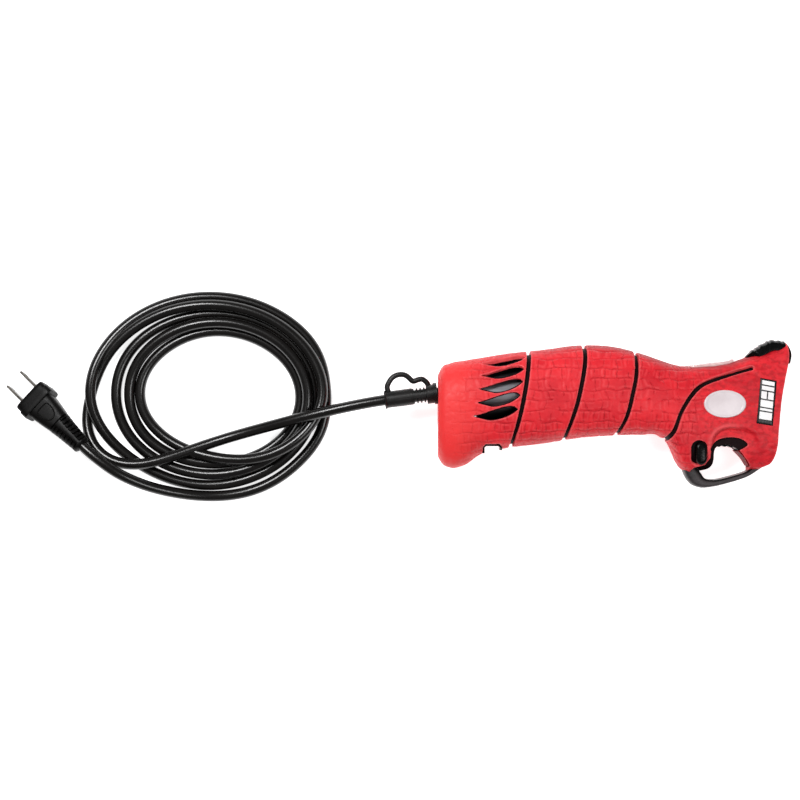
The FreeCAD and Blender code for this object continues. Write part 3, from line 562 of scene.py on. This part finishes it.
def crease_pattern(finish):
    """Wandering creases between the overmould's cells, as strong as the mesh says."""
    brick = finish.nodes.new("ShaderNodeTexBrick")
    for socket, value in (("Scale", 1.0), ("Mortar Size", 0.06), ("Mortar Smooth", 0.8),
                          ("Brick Width", 1.0), ("Row Height", 1.0)):
        brick.inputs[socket].default_value = value
    wander = finish.nodes.new("ShaderNodeTexNoise")
    wander.inputs["Scale"].default_value = 210.0
    wander.inputs["Detail"].default_value = 2.0
    finish.links.new(finish.where, wander.inputs["Vector"])
    moved = finish.nodes.new("ShaderNodeVectorMath")
    moved.operation = "MULTIPLY_ADD"
    finish.links.new(wander.outputs["Color"], moved.inputs[0])
    moved.inputs[1].default_value = (0.16, 0.16, 0.16)
    finish.links.new(finish.attribute("weave", "Vector"), moved.inputs[2])
    finish.links.new(moved.outputs["Vector"], brick.inputs["Vector"])
    return finish.math("MULTIPLY", brick.outputs["Fac"], finish.attribute("cells"))


def red_overmould():
    """Soft red overmould with a crocodile grain, leathery towards the nose."""
    finish = Finish("red_overmould")
    crease = crease_pattern(finish)
    broad = finish.noise(60.0, 5.0)
    wrinkle = finish.noise(520.0, 5.0, (0.8, 1.0, 0.9))
    blotch = finish.noise(380.0, 6.0, (0.8, 1.0, 0.9))
    mottled = finish.math("MULTIPLY", finish.ranged(blotch, 1.0, 0.0, 0.40, 0.56), finish.attribute("hide"))
    base = finish.ramp(broad, (0.58, 0.008, 0.018), (0.78, 0.018, 0.028), 0.32, 0.68)
    # The base colour carries painted light: painted shade where the flank turns away and in the creases,
    # painted highlights on the cells' rims and cut edges, and painted light over the butt. The mottling is
    # the rubber's own tone.
    for factor, colour, most in ((mottled, (0.38, 0.004, 0.010), 0.62),
                                 # painted light: paler red over the butt
                                 (finish.attribute("painted_butt_light"), (0.84, 0.045, 0.040), 0.6),
                                 # painted shade: darker red where the flank turns away from above
                                 (finish.attribute("turned"), (0.28, 0.005, 0.012), 0.85),
                                 # painted highlight: paler red along each grain cell's rim
                                 (finish.attribute("rim"), (0.86, 0.075, 0.085), 0.42),
                                 # painted shade: darker red in the grain's creases
                                 (crease, (0.46, 0.006, 0.014), 0.34),
                                 # painted highlight: paler red along the cut edges and the dish's rim
                                 (finish.attribute("edge"), (0.88, 0.16, 0.17), 0.42)):
        base = finish.blend(factor, base, colour, most)
    finish.feed("Base Color", base)
    finish.feed("Roughness", finish.ranged(wrinkle, 0.42, 0.58))
    finish.shader.inputs["Specular IOR Level"].default_value = 0.26
    finish.shader.inputs["Subsurface Weight"].default_value = 0.04
    finish.shader.inputs["Subsurface Radius"].default_value = (0.0015, 0.0004, 0.0003)
    creased = finish.bump(finish.math("SUBTRACT", 1.0, crease), 0.28)
    wrinkled = finish.bump(wrinkle, 0.24, creased)
    finish.bump(finish.noise(1700.0, 2.0), 0.03, wrinkled)
    return finish.made


def lens_plastic():
    """Pale pinkish clear plastic over the power light."""
    finish = Finish("lens_plastic")
    cloud = finish.noise(300.0, 3.0)
    finish.feed("Base Color", finish.ramp(cloud, (0.72, 0.50, 0.50), (0.86, 0.70, 0.68)))
    finish.feed("Roughness", finish.ranged(cloud, 0.12, 0.22))
    finish.shader.inputs["Transmission Weight"].default_value = 0.35
    finish.shader.inputs["IOR"].default_value = 1.49
    finish.bump(cloud, 0.03)
    return finish.made


def floor_finish():
    """A plain pale floor."""
    finish = Finish("floor")
    finish.feed("Base Color", finish.ramp(finish.noise(4.0, 2.0), (0.93, 0.93, 0.93), (0.95, 0.95, 0.95)))
    finish.shader.inputs["Roughness"].default_value = 0.9
    finish.shader.inputs["Specular IOR Level"].default_value = 0.1
    finish.shader.inputs["Emission Color"].default_value = (1, 1, 1, 1)
    finish.shader.inputs["Emission Strength"].default_value = 0.8
    return finish.made


MOULDED = {                # darker colour, lighter colour, roughness from and to, what else differs
    "black_plastic": ((0.003, 0.003, 0.003), (0.007, 0.006, 0.007), (0.24, 0.38), {"specular": 0.32}),
    "jet_black": ((0.0012, 0.0012, 0.0012), (0.0026, 0.0026, 0.0026), (0.2, 0.32), {"specular": 0.12}),
    "groove_black": ((0.004, 0.0012, 0.0015), (0.009, 0.002, 0.003), (0.5, 0.7), {"specular": 0.08}),
    "grey_plastic": ((0.015, 0.012, 0.013), (0.040, 0.032, 0.034), (0.4, 0.58),
                     {"height": 0.09, "specular": 0.4}),
    "black_rubber": ((0.003, 0.003, 0.003), (0.007, 0.006, 0.006), (0.3, 0.5), {"specular": 0.3}),
    # a darker copy of the red overmould for the lip in the finger opening: painted shade
    "painted_shade_red": ((0.27, 0.003, 0.008), (0.34, 0.005, 0.011), (0.5, 0.6), {"specular": 0.1}),
    "badge_plastic": ((0.66, 0.58, 0.60), (0.74, 0.66, 0.68), (0.30, 0.4), {}),
    "label_film": ((0.004, 0.003, 0.004), (0.006, 0.006, 0.006), (0.28, 0.4), {"specular": 0.3}),
    "print_white": ((0.86, 0.84, 0.84), (0.94, 0.92, 0.92), (0.35, 0.45), {}),
    "steel": ((0.42, 0.41, 0.40), (0.62, 0.61, 0.60), (0.22, 0.42),
              {"grain": 0.5, "height": 0.04, "metallic": 1.0, "stretch": (0.08, 1, 1)}),
    # a darker copy of the steel for the motor can inside the handle: painted shade
    "shaded_motor_steel": ((0.10, 0.10, 0.11), (0.26, 0.26, 0.28), (0.35, 0.5),
                    {"grain": 0.5, "height": 0.04, "metallic": 1.0, "stretch": (0.06, 1, 1)}),
    "magnet": ((0.03, 0.03, 0.03), (0.06, 0.055, 0.055), (0.5, 0.7), {}),
    "copper": ((0.60, 0.26, 0.14), (0.75, 0.36, 0.2), (0.25, 0.4), {"metallic": 1.0}),
    "bronze": ((0.42, 0.28, 0.12), (0.55, 0.38, 0.18), (0.3, 0.45), {"metallic": 1.0}),
    "carbon": ((0.02, 0.02, 0.02), (0.04, 0.04, 0.04), (0.5, 0.7), {}),
    "nylon": ((0.62, 0.60, 0.54), (0.72, 0.70, 0.64), (0.35, 0.5), {}),
    "zinc_casting": ((0.34, 0.34, 0.35), (0.46, 0.46, 0.47), (0.4, 0.6),
                     {"grain": 1.2, "height": 0.1, "metallic": 1.0}),
    "cord_jacket": ((0.0022, 0.0017, 0.0015), (0.0045, 0.0036, 0.0033), (0.22, 0.28),
                    {"height": 0.012, "specular": 0.42}),
    "plug_rubber": ((0.0015, 0.0013, 0.0013), (0.003, 0.0026, 0.0026), (0.34, 0.46),
                    {"height": 0.03, "specular": 0.11}),
    "plug_brass": ((0.05, 0.045, 0.04), (0.12, 0.11, 0.10), (0.25, 0.4),
                   {"grain": 0.6, "height": 0.03, "metallic": 1.0}),
}
finishes = {name: moulded(name, *main, **others) for name, (*main, others) in MOULDED.items()}
finishes["red_overmould"] = red_overmould()
finishes["lens_plastic"] = lens_plastic()
finishes["floor"] = floor_finish()


# ---------------- camera and cord

def add_camera():
    """A camera that looks straight down on the object."""
    data = bpy.data.cameras.new("camera")
    data.lens = 100
    data.clip_end = 20
    camera = add_object("camera", data)
    camera.location = CAMERA
    bpy.context.scene.camera = camera


def coil_points():
    """Points of the coil, clockwise from its left, turn after turn."""
    centre_x, centre_y, half_x, half_y = COIL
    knots = np.array([place for turn in TURNS for place in turn], float)
    points = []
    for at in np.arange(0, len(knots) - 0.99, 8 / COIL_POINTS):
        inwards, high = (np.interp(at, range(len(knots)), knots[:, k]) for k in (0, 1))
        angle = math.pi - at * math.pi / 4
        points.append((centre_x + (half_x - inwards) * math.cos(angle),
                       centre_y + (half_y - inwards) * math.sin(angle), high))
    return points


def cord_route():
    """Evenly spaced points along the whole cord, eased so that no bend is sharp."""
    line = smooth_line(LEAD + coil_points()[:-1] + TAIL[1:], steps=8)
    length = np.linalg.norm(np.diff(line, axis=0), axis=1).sum()
    route = evenly(line, round(length / CORD_STEP))[0]
    for _ in range(CORD_EASING):
        route[2:-2] = (route[1:-3] + 2 * route[2:-2] + route[3:-1]) / 4
    route[1] = (route[0] + route[1]) / 2
    route[-2] = (route[-1] + route[-2]) / 2
    return route


def add_cord():
    """The mains cord: out of its sleeve, round the coil and up to the plug."""
    route = cord_route()
    curve = bpy.data.curves.new("mains_cord", "CURVE")
    curve.dimensions = "3D"
    curve.bevel_depth = CORD / 2 * MM
    curve.bevel_resolution = 6
    curve.resolution_u = 10
    curve.use_fill_caps = True
    spline = curve.splines.new("NURBS")
    spline.points.add(len(route) - 1)
    for point, (x, y, z) in zip(spline.points, route):
        point.co = (x * MM, y * MM, z * MM, 1)
    spline.order_u = 3
    spline.use_endpoint_u = True
    curve.materials.append(finishes["cord_jacket"])
    return place(add_object("mains_cord", curve), "cord_jacket", "cord_lead", "cord_coil", "cord_tail")


# ---------------- the handle's pieces

def skin_keep(side, x, y, z, end_columns):
    """How far each point is inside the overmould's edges, negative where it is cut away."""
    away = [line_distance(x, y, smooth_line(groove)) - GROOVE_HALF for groove in GROOVES]
    for vent in VENTS if side > 0 else VENTS[1:]:
        away.append(outside_of(x, y, leaf(*vent, grow=VENT_RIM)))
    for outline in (OPENING, SKIN_SCOOP):
        away.append(outside_of(x, y, smooth_line(outline, closed=True, steps=6)))
    front = [*smooth_line(NOSE_EDGE), (86, -70), (220, -70), (220, 90), (108.5, 90)]
    for outline in (LINER, NOTCH, front):
        away.append(outside_of(x, y, np.array(outline, float)))
    away.append(capsule(x, y, *LOCK_RECESS))
    away.append(capsule(x, y, *LOCK, LOCK_HALF[0] + 0.4, LOCK_HALF[1] + 0.4))
    for screw_x, screw_y in SCREWS if side < 0 else []:
        away.append(np.hypot(x - screw_x, y - screw_y) - SCREW_HOLE)
    keep = np.minimum.reduce(away)
    hole = np.hypot(y - RELIEF_FLANGE[1], z) - FLANGE_HOLE
    keep[:end_columns] = np.minimum(keep[:end_columns], hole[:end_columns])
    return keep


def crocodile(x, arc, waves):
    """Coordinates of a grain of uneven cells in rows, how marked it is, and the way to its creases."""
    across = (arc + 2.2 * waves[..., 1] + 300) / CELL[1]
    row = np.floor(across).astype(int)
    luck = np.random.default_rng(SEED).random((4, 200, 200))
    stretch, shift = 0.78 + 0.5 * luck[0, row % 200, 0], 9 * luck[1, row % 200, 0]
    along = (x * stretch + shift + 2.3 * waves[..., 0] + 300) / CELL[0]
    offset = along + 0.5 * (row % 2)
    side_gap = np.abs(offset - np.round(offset)) * CELL[0]
    row_gap = np.abs(across - np.round(across)) * CELL[1]
    beside = luck[2, row % 200, np.round(offset).astype(int) % 200]
    above = luck[3, np.round(across).astype(int) % 200, np.floor(offset).astype(int) % 200]
    faint = np.where(side_gap < row_gap, beside < 0.3, above < 0.12)
    cells = np.clip((x + 108) / 30, 0.1, 1) * np.clip((70 - x) / 22, 0.06, 1)
    cells = cells * (0.6 + 0.4 * np.clip(0.5 + 2.2 * waves[..., 2], 0, 1)) * np.where(faint, 0.12, 1)
    weave = np.stack([along, across, np.zeros(x.shape)], axis=2)
    return weave, cells, np.minimum(side_gap, row_gap)


def noise_at(grid, side, scale):
    """Smooth noise vectors at the grid's points."""
    noise.seed_set(SEED)
    flip = np.array([1, 1, side]) * scale
    return np.array([[noise.noise_vector(Vector(p * flip)) for p in column] for column in grid])


def skin_tones(x, y, z, normals, keep, cells, gap):
    """Where the overmould is paler or darker: painted highlights on its cut edges, the dish's rim and the
    cells' rims, painted shade where it turns away, painted light over the butt, and its own mottling
    towards the nose.
    """
    # painted highlight along the cut edges and round the dish's rim
    edge = np.clip(1 - np.maximum(keep, 0) / 0.9, 0, 1)
    dish_edge = np.exp(-((line_distance(x, y, DISH_LINE, closed=True) - 0.6) / 1.1) ** 2)
    edge = np.maximum(edge, dish_edge * np.clip((84 - x) / 14, 0, 0.8) * (z > 8))
    # painted shade where the surface turns away from above, towards the spine
    turned = np.clip((0.72 - normals[..., 2]) / 0.45, 0, 1) * np.clip((y - 8) / 10, 0, 1)
    return {
        "edge": edge,
        # painted highlight along each cell's rim
        "rim": cells * np.exp(-((gap - 1.25) / 0.55) ** 2),
        "hide": np.clip((x - 34) / 26, 0.12, 1),
        # painted shade where the flank turns away from above
        "turned": turned * np.clip((x + 80) / 60, 0.25, 1),
        # painted light: paler red over the butt
        "painted_butt_light": np.clip((-76 - x) / 24, 0, 1),
    }


def skin(side, name, node):
    """One red overmould, textured, with rolled edges."""
    grid, arc, end_columns = handle_grid()
    x, y, z = grid[..., 0], grid[..., 1], grid[..., 2]
    keep = skin_keep(side, x, y, z, end_columns)
    sunk = half_width_at(x, y)
    grid[..., 2] = np.where((z > DISH_HALF_WIDTH) & (sunk < z - 0.05), np.minimum(z, sunk), z)
    normals = grid_normals(grid)
    weave, cells, gap = crocodile(x, arc, noise_at(grid, side, (0.11, 0.11, 0.11)))
    carried = {"weave": weave, "cells": cells}
    carried.update(skin_tones(x, y, z, normals, keep, cells, gap))
    rise = noise_at(grid, side, (0.17, 0.42, 0.25))[..., 0]
    near = np.clip(keep, 0, EDGE_ROUND)
    lift = 0.34 * rise * np.clip((x - 40) / 30, 0.25, 1) - 0.34 * cells * np.exp(-(gap / 0.8) ** 2)
    lift -= EDGE_ROUND - np.sqrt(np.maximum(EDGE_ROUND ** 2 - (EDGE_ROUND - near) ** 2, 0))
    grid = grid + normals * lift[..., None]
    flip = np.array([1, 1, side])
    grid, normals = grid * flip + [0, 0, MID], normals * flip
    if side < 0:
        grid, normals, keep = grid[:, ::-1], normals[:, ::-1], keep[:, ::-1]
        carried = {key: values[:, ::-1] for key, values in carried.items()}
    made = clipped_shell(name, grid, normals, keep, carried, "red_overmould", SKIN - 0.05)
    return place(made, "red_overmould", node)


def closed_sheet(name, top, under, finish):
    """A closed plate between two grids of points with the same rows and columns."""
    rows, wide = top.shape[:2]
    count = rows * wide
    faces = []
    for i in range(rows - 1):
        for j in range(wide - 1):
            a = i * wide + j
            faces.append((a, a + wide, a + wide + 1, a + 1))
            faces.append((a + count, a + count + 1, a + count + wide + 1, a + count + wide))
    grid = np.arange(count).reshape(rows, wide)
    rim = np.concatenate([grid[0], grid[1:, -1], grid[-1, -2::-1], grid[-2:0:-1, 0]]).tolist()
    faces += [(a, b, b + count, a + count) for a, b in zip(rim, rim[1:] + rim[:1])]
    return mesh_object(name, [*top.reshape(-1, 3), *under.reshape(-1, 3)], faces, finish)


def surface_patch(name, x, y, proud, under, finish):
    """A closed plate over a grid of places on the right flank, proud of it by given heights."""
    high = half_width_at(x, y)
    top = np.stack([x, y, MID + high + proud], axis=2)
    low = np.stack([x, y, MID + high - under], axis=2)
    return closed_sheet(name, top, low, finish)


def add_badge():
    """A plain pale oval badge with a raised rim."""
    x0, y0, half_x, half_y = BADGE
    shares = np.array([0.002, 0.2, 0.4, 0.6, 0.76, 0.82, 0.85, 0.88, 0.93, 0.965, 0.985, 1.0])
    lifts = np.array([0.62, 0.62, 0.6, 0.56, 0.52, 0.5, 0.62, 0.8, 0.84, 0.74, 0.52, 0.1])
    turns = np.linspace(0, 2 * math.pi, 97)
    x = x0 + half_x * np.outer(shares, np.cos(turns))
    y = y0 + half_y * np.outer(shares, np.sin(turns))
    badge = surface_patch("badge", x, y, lifts[:, None], 0.5, "badge_plastic")
    place(badge, "badge_plastic", "oval_badge")


def between(corners, down, over):
    """A place between four corners: rear top, front top, front bottom, rear bottom."""
    a, b, c, d = np.array(corners, float)
    return (a * (1 - over) + b * over) * (1 - down) + (d * (1 - over) + c * over) * down


def plate_grid(corners, rows, columns):
    """A grid of places between four corners."""
    down = np.linspace(0, 1, rows)[:, None, None]
    over = np.linspace(0, 1, columns)[None, :, None]
    grid = between(corners, down, over)
    return grid[..., 0], grid[..., 1]


def add_label():
    """A black label plate with plain white bars."""
    x, y = plate_grid(LABEL, 40, 16)
    down = np.linspace(0, 1, 40)[:, None]
    over = np.linspace(0, 1, 16)[None, :]
    edge = np.minimum(np.minimum(down, 1 - down) * 29, np.minimum(over, 1 - over) * 10.4)
    lift = PROUD * np.clip(0.35 + edge / 0.9, 0, 1)
    plate = surface_patch("label_plate_face", x, y, lift, 0.6, "label_film")
    place(plate, "label_film", "label_plate")
    bars = [(0.04, 0.13, 0.12, 0.88), (0.16, 0.25, 0.12, 0.88), (0.28, 0.44, 0.12, 0.46),
            (0.28, 0.44, 0.54, 0.88), (0.47, 0.62, 0.12, 0.88), (0.65, 0.70, 0.12, 0.88),
            (0.73, 0.89, 0.12, 0.88)]
    for number, (top, bottom, rear, front) in enumerate(bars):
        shares = (top, rear), (top, front), (bottom, front), (bottom, rear)
        x, y = plate_grid([between(LABEL, down, over) for down, over in shares], 8, 6)
        lift = np.full(x.shape, PROUD + 0.06)
        lift[0, :] = lift[-1, :] = lift[:, 0] = lift[:, -1] = PROUD + 0.01
        bar = surface_patch(f"label_bar_{number}", x, y, lift, 0.1 - PROUD, "print_white")
        place(bar, "label_film")


def add_pad():
    """The ribbed rubber thumb pad that wraps over the nose's top corner."""
    line, even = evenly(smooth_line(PAD_TOP), 110)
    along = np.gradient(line, axis=0)
    along /= np.linalg.norm(along, axis=1, keepdims=True)
    out = np.stack([-along[:, 1], along[:, 0]], axis=1)
    uneven = 0.62 + 0.38 * np.sin(even * 1.13 + 0.6)
    rib = 0.42 * uneven * np.sin(2 * math.pi * (even + 0.7 * np.sin(even * 0.7)) / 3.9)
    rib *= np.clip((even - 2) / 3, 0, 1) * np.clip((even[-1] - 9 - even) / 3, 0, 1)
    across = np.linspace(-1, 1, 41)
    spine, belly, wide = station(line[:, 0])
    tall = (spine - belly) / 2
    narrow = np.clip(even / 8, 0.15, 1) ** 0.5
    off = PAD_HALF * np.outer(narrow, across)
    drop = tall[:, None] * (1 - (1 - np.abs(off / wide[:, None]) ** SQUARENESS) ** (1 / SQUARENESS))
    lift = rib[:, None] * (np.abs(across) < 0.86) - 0.9 * np.maximum(0, np.abs(across) - 0.93) / 0.07
    sheets = []
    for high in (lift, lift - 3.4):
        sheet = np.stack([line[:, :1] + out[:, :1] * high, line[:, 1:] + out[:, 1:] * high - drop,
                          MID + off], axis=2)
        sheets.append(sheet[:, ::-1])
    pad = closed_sheet("thumb_pad_rubber", *sheets, "jet_black")
    place(pad, "black_rubber", "thumb_pad")


def add_lens():
    """The long wedge of clear plastic over the power light."""
    line = smooth_line(LENS_TOP)
    x0 = line[0][0]
    rings = []
    for x, y in line:
        spine = float(station(np.array(x))[0])
        width = LENS_HALF * min(1, math.sqrt((x - x0) / 5 + 0.02))
        ring = []
        for angle in np.linspace(0, math.pi, 17):
            up = max(y - spine + 0.8, 0.3) * math.sin(angle) ** 0.5
            ring.append((x, spine - 0.8 + up, MID + width * math.cos(angle)))
        for across in np.linspace(-1, 1, 9)[1:-1]:
            ring.append((x, spine - 2.4, MID + width * across))
        rings.append(ring)
    lens = tubes("power_lens", "lens_plastic", rings)
    place(lens, "lens_plastic", "power_light_lens")


def rounded_band(outer, inner, halves, square=3.6, count=40):
    """Rings of a bar between two lines, with rounded edges."""
    turns = full_turn(count)
    rings = []
    for over, under, half in zip(outer, inner, halves):
        middle, reach = (over + under) / 2, (over - under) / 2
        ring = []
        for turn in turns:
            x, y = middle + reach * squared(math.cos(turn), square)
            ring.append((x, y, MID - half * squared(math.sin(turn), square)))
        rings.append(ring)
    return rings


def add_guard():
    """The grey guard under the finger opening, with a black lining along its inner side."""
    outer, inner = smooth_line(GUARD_OUTER, steps=8), smooth_line(GUARD_INNER, steps=8)
    taper = np.interp(np.arange(len(outer)), [0, len(outer) - 22, len(outer) - 1],
                      [GUARD_HALF, GUARD_HALF, GUARD_HALF - 3])
    guard = tubes("guard", "grey_plastic", rounded_band(outer, inner, taper))
    place(guard, "grey_plastic", "trigger_guard")
    away = (inner - outer) / np.linalg.norm(inner - outer, axis=1, keepdims=True)
    band = rounded_band(inner - away * 1.1, inner + away * 0.35, taper + 0.15)
    lining = tubes("guard_lining", "jet_black", band)
    place(lining, "black_plastic")


def add_lip():
    """The overmould's edge that rolls into the finger opening along its front side, in a darker red as
    painted shade.
    """
    line = smooth_line(OPENING[1:4], steps=12)[4:-2]
    along = np.gradient(line, axis=0)
    out = np.stack([-along[:, 1], along[:, 0]], axis=1)
    out /= np.linalg.norm(out, axis=1, keepdims=True)
    halves = half_width_at(line[:, 0], line[:, 1]) - 0.7
    band = rounded_band(line + 0.25 * out, line - 0.55 * out, halves, count=24)
    # the lip takes a darker red: painted shade inside the finger opening
    lip = tubes("overmould_lip", "painted_shade_red", band)
    place(lip, "red_overmould")


def add_notch_rim():
    """The black lining round the notch in the belly."""
    outer = NOTCH[1:5]
    left, right, top = outer[0][0], outer[-1][0], outer[1][1]
    thick = 1.2
    outline = [(left, -25.4), (left, top - 1.8), (left + 1.8, top), (right - 1.8, top),
               (right, top - 1.8), (right, -23.4), (right - thick, -23.4), (right - thick, top - 2.2),
               (right - 2.2, top - thick), (left + 2.2, top - thick), (left + thick, top - 2.2),
               (left + thick, -25.4)]
    rim = slab("notch_rim", outline, MID - 11, MID + 11, 0.2, "jet_black")
    place(rim, "black_plastic")


def add_trigger():
    """The trigger, with bumps along its lower edge."""
    outline = smooth_line(TRIGGER, closed=True, steps=6)
    lever = slab("trigger_moulding", outline, MID - TRIGGER_HALF, MID + TRIGGER_HALF, 1.4,
                 "jet_black")
    place(lever, "black_plastic", "trigger", body="trigger_lever")


def add_lock():
    """The lock button, a capsule with domed ends that runs through the handle."""
    half_x, half_y = LOCK_HALF
    reach = half_y - half_x
    turns = full_turn(64)
    outline = np.stack([LOCK[0] + half_x * np.cos(turns),
                        LOCK[1] + half_x * np.sin(turns) + reach * np.sign(np.sin(turns))], axis=1)
    middle = np.array(LOCK)
    rings = []
    for end in (-1, 1):
        profile = [(0.05, 0.0), (0.4, 0.05), (0.7, 0.25), (0.86, 0.62), (0.95, 1.15), (1.0, 2.0)]
        for share, low in (profile if end < 0 else profile[::-1]):
            ring = middle + (outline - middle) * share
            rings.append([(x, y, MID + end * (LOCK_LENGTH / 2 - low)) for x, y in ring])
    lock = tubes("lock_capsule", "jet_black", rings)
    place(lock, "black_plastic", "lock_button", body="lock")


def relief_radius(along, turn):
    """The sleeve's radius: a lip, a plain body, slots cut above and below, a block and a flange."""
    if along < 1.6:
        return RELIEF_RADIUS + 0.65 - 0.5 * abs(along - 0.8)
    if along < 18.4:
        return RELIEF_RADIUS
    if along < 27.4:
        slotted = (along - 18.4) % 2.4 > 1.05
        return 3.9 if slotted and abs(math.sin(turn)) > 0.45 else RELIEF_RADIUS - 0.4
    if along < 32.0:
        return 6.1
    if along < 34.4:
        return 6.9
    return 3.6


def add_relief():
    """The rubber sleeve at the cord's exit, with its hanging loop."""
    start = np.array([*RELIEF_END, MID])
    finish = np.array([*RELIEF_FLANGE, MID])
    long = np.linalg.norm(finish - start)
    along = (finish - start) / long
    up = np.array([-along[1], along[0], 0.0])
    places = [0.0, 0.25, 0.8, 1.35, 1.6]
    places += list(np.arange(2.0, 18.3, 0.9)) + list(np.arange(18.3, 27.6, 0.15))
    places += [27.8, 29.5, 31.6, 31.95, 32.05, 32.4, 33.2, 34.0, 34.38, 34.45, 42.0]
    turns = full_turn(48)
    rings = []
    for distance in places:
        middle = start + along * distance
        ring = []
        for turn in turns:
            radius = relief_radius(distance, turn) if distance > 0 else CORD / 2 + 0.35
            ring.append(middle + radius * (math.sin(turn) * up + math.cos(turn) * np.array([0, 0, 1.0])))
        rings.append(ring)
    loop = smooth_line([(x, y, MID) for x, y in LOOP], steps=6)
    sleeve = tubes("cord_sleeve", "black_rubber", rings, tube_rings(loop, LOOP_RADIUS))
    return place(sleeve, "black_rubber", "strain_relief")


def plug_axes():
    """The plug's front face and its three directions."""
    yaw, pitch = math.radians(PLUG_YAW), math.radians(PLUG_PITCH)
    ahead = np.array([math.cos(yaw) * math.cos(pitch), math.sin(yaw) * math.cos(pitch), -math.sin(pitch)])
    side = np.array([-math.sin(yaw), math.cos(yaw), 0.0])
    top = np.cross(ahead, side)
    face = np.array(TAIL[-1]) + PLUG_LENGTH * ahead
    return face, ahead, side, top


def plug_section(x):
    """Half width, half height and squareness of the plug at a distance behind its face."""
    table = [(-49.5, 4.3, 4.3, 2), (-48.4, 5.9, 5.2, 2.4), (-47.4, 5.9, 5.2, 2.4),
             (-47.2, 4.5, 4.5, 2), (-34, 5.4, 5.1, 2.2), (-27.6, 6.0, 5.5, 2.6),
             (-27, 7.7, 6.3, 3.2), (-22, 8.6, 6.8, 3.6),
             (-15, 9.6, 7.2, 4.2), (-11.2, 9.9, 7.4, 4.4), (-10.5, 10.0, 7.5, 4.6),
             (-10.3, 12.3, 8.3, 6.5), (-9.6, 12.6, 8.5, 6.5), (-5.2, 12.6, 8.5, 6.5),
             (-5.0, 11.9, 7.9, 6), (-1.0, 11.9, 7.9, 6), (-0.3, 11.6, 7.6, 6), (0, 10.9, 7.0, 6)]
    rows = np.array(table)
    return [np.interp(x, rows[:, 0], rows[:, k]) for k in (1, 2, 3)]


def add_plug():
    """The moulded plug with its ribbed boot. Its blades are the CAD ones."""
    face, ahead, side, top = plug_axes()
    places = sorted({-49.5, -49.0, -48.4, -47.4, -47.2, *np.arange(-47, -27.6, 0.2), -27.6, -27,
                     -25.5, -22, -18.5, -15, -13, -11.2, -10.5, -10.3, -9.95, -9.6, -7.2, -5.2,
                     -5.0, -3.0, -1.0, -0.6, -0.3, 0})
    turns = full_turn(72)
    rings = []
    for x in places:
        wide, tall, square = plug_section(x)
        ring = []
        for turn in turns:
            cosine = math.cos(turn)
            ribbed = -47 < x < -28 and (x + 47) % 3.0 < 1.7 and abs(cosine) > 0.3
            grow = 1.3 if ribbed else 1.0
            across = wide * grow * squared(cosine, square)
            high = tall * grow * squared(math.sin(turn), square)
            ring.append(face + x * ahead + across * side + high * top)
        rings.append(ring)
    outline = smooth_line([(-24, 0), (-23, 2.6), (-19.5, 4.4), (-15, 4.6), (-13.6, 3.2), (-13.6, -3.2),
                           (-15, -4.6), (-19.5, -4.4), (-23, -2.6)], closed=True, steps=6)
    loop = []
    for x, y in [*outline, outline[0]]:
        wide, tall, square = plug_section(x)
        high = tall * (1 - abs(y / wide) ** square) ** (1 / square)
        loop.append(face + x * ahead + y * side + (high + 0.05) * top)
    body = tubes("plug_moulding", "plug_rubber", rings, tube_rings(loop, 0.45, 8))
    return place(body, "plug_rubber", "plug_body")


# ---------------- floor and light

def add_floor():
    """A wide pale floor."""
    points = [(-4000, -4000, 0), (4000, -4000, 0), (4000, 4000, 0), (-4000, 4000, 0)]
    floor = mesh_object("floor", points, [(0, 1, 2, 3)], "floor")


def add_light(name, spot, size, power):
    """A soft square light that points at the handle."""
    data = bpy.data.lights.new(name, "AREA")
    data.size = size
    data.energy = power
    light = add_object(name, data)
    light.location = spot
    aim = Vector((-0.1, 0.0, 0.0)) - light.location
    light.rotation_euler = aim.to_track_quat("-Z", "Y").to_euler()


def add_world(strength):
    """An even white surround."""
    world = bpy.data.worlds.new("studio")
    world.use_nodes = True
    sockets = world.node_tree.nodes["Background"].inputs
    sockets["Color"].default_value = (1, 1, 1, 1)
    sockets["Strength"].default_value = strength
    bpy.context.scene.world = world


add_camera()
cord = add_cord()
for part in frame["record"]["subparts"]:
    finish = NODE_FINISHES.get(part["node"], part["material_slot"])
    for holder in frame["nodes"][part["node"]].material_slots:
        holder.material = finishes[finish]
sleeve = add_relief()
plug = add_plug()
skin(1, "overmould_right", "grip_skin_right")
skin(-1, "overmould_left", "grip_skin_left")
add_badge()
add_label()
add_pad()
add_lens()
add_guard()
add_lip()
add_notch_rim()
add_trigger()
add_lock()
add_floor()
add_world(0.2)
add_light("key", (-0.6, 0.55, 1.2), 0.35, 15.5)
add_light("fill", (0.6, -0.25, 1.4), 0.5, 8)
bpy.context.scene.view_settings.view_transform = "Standard"
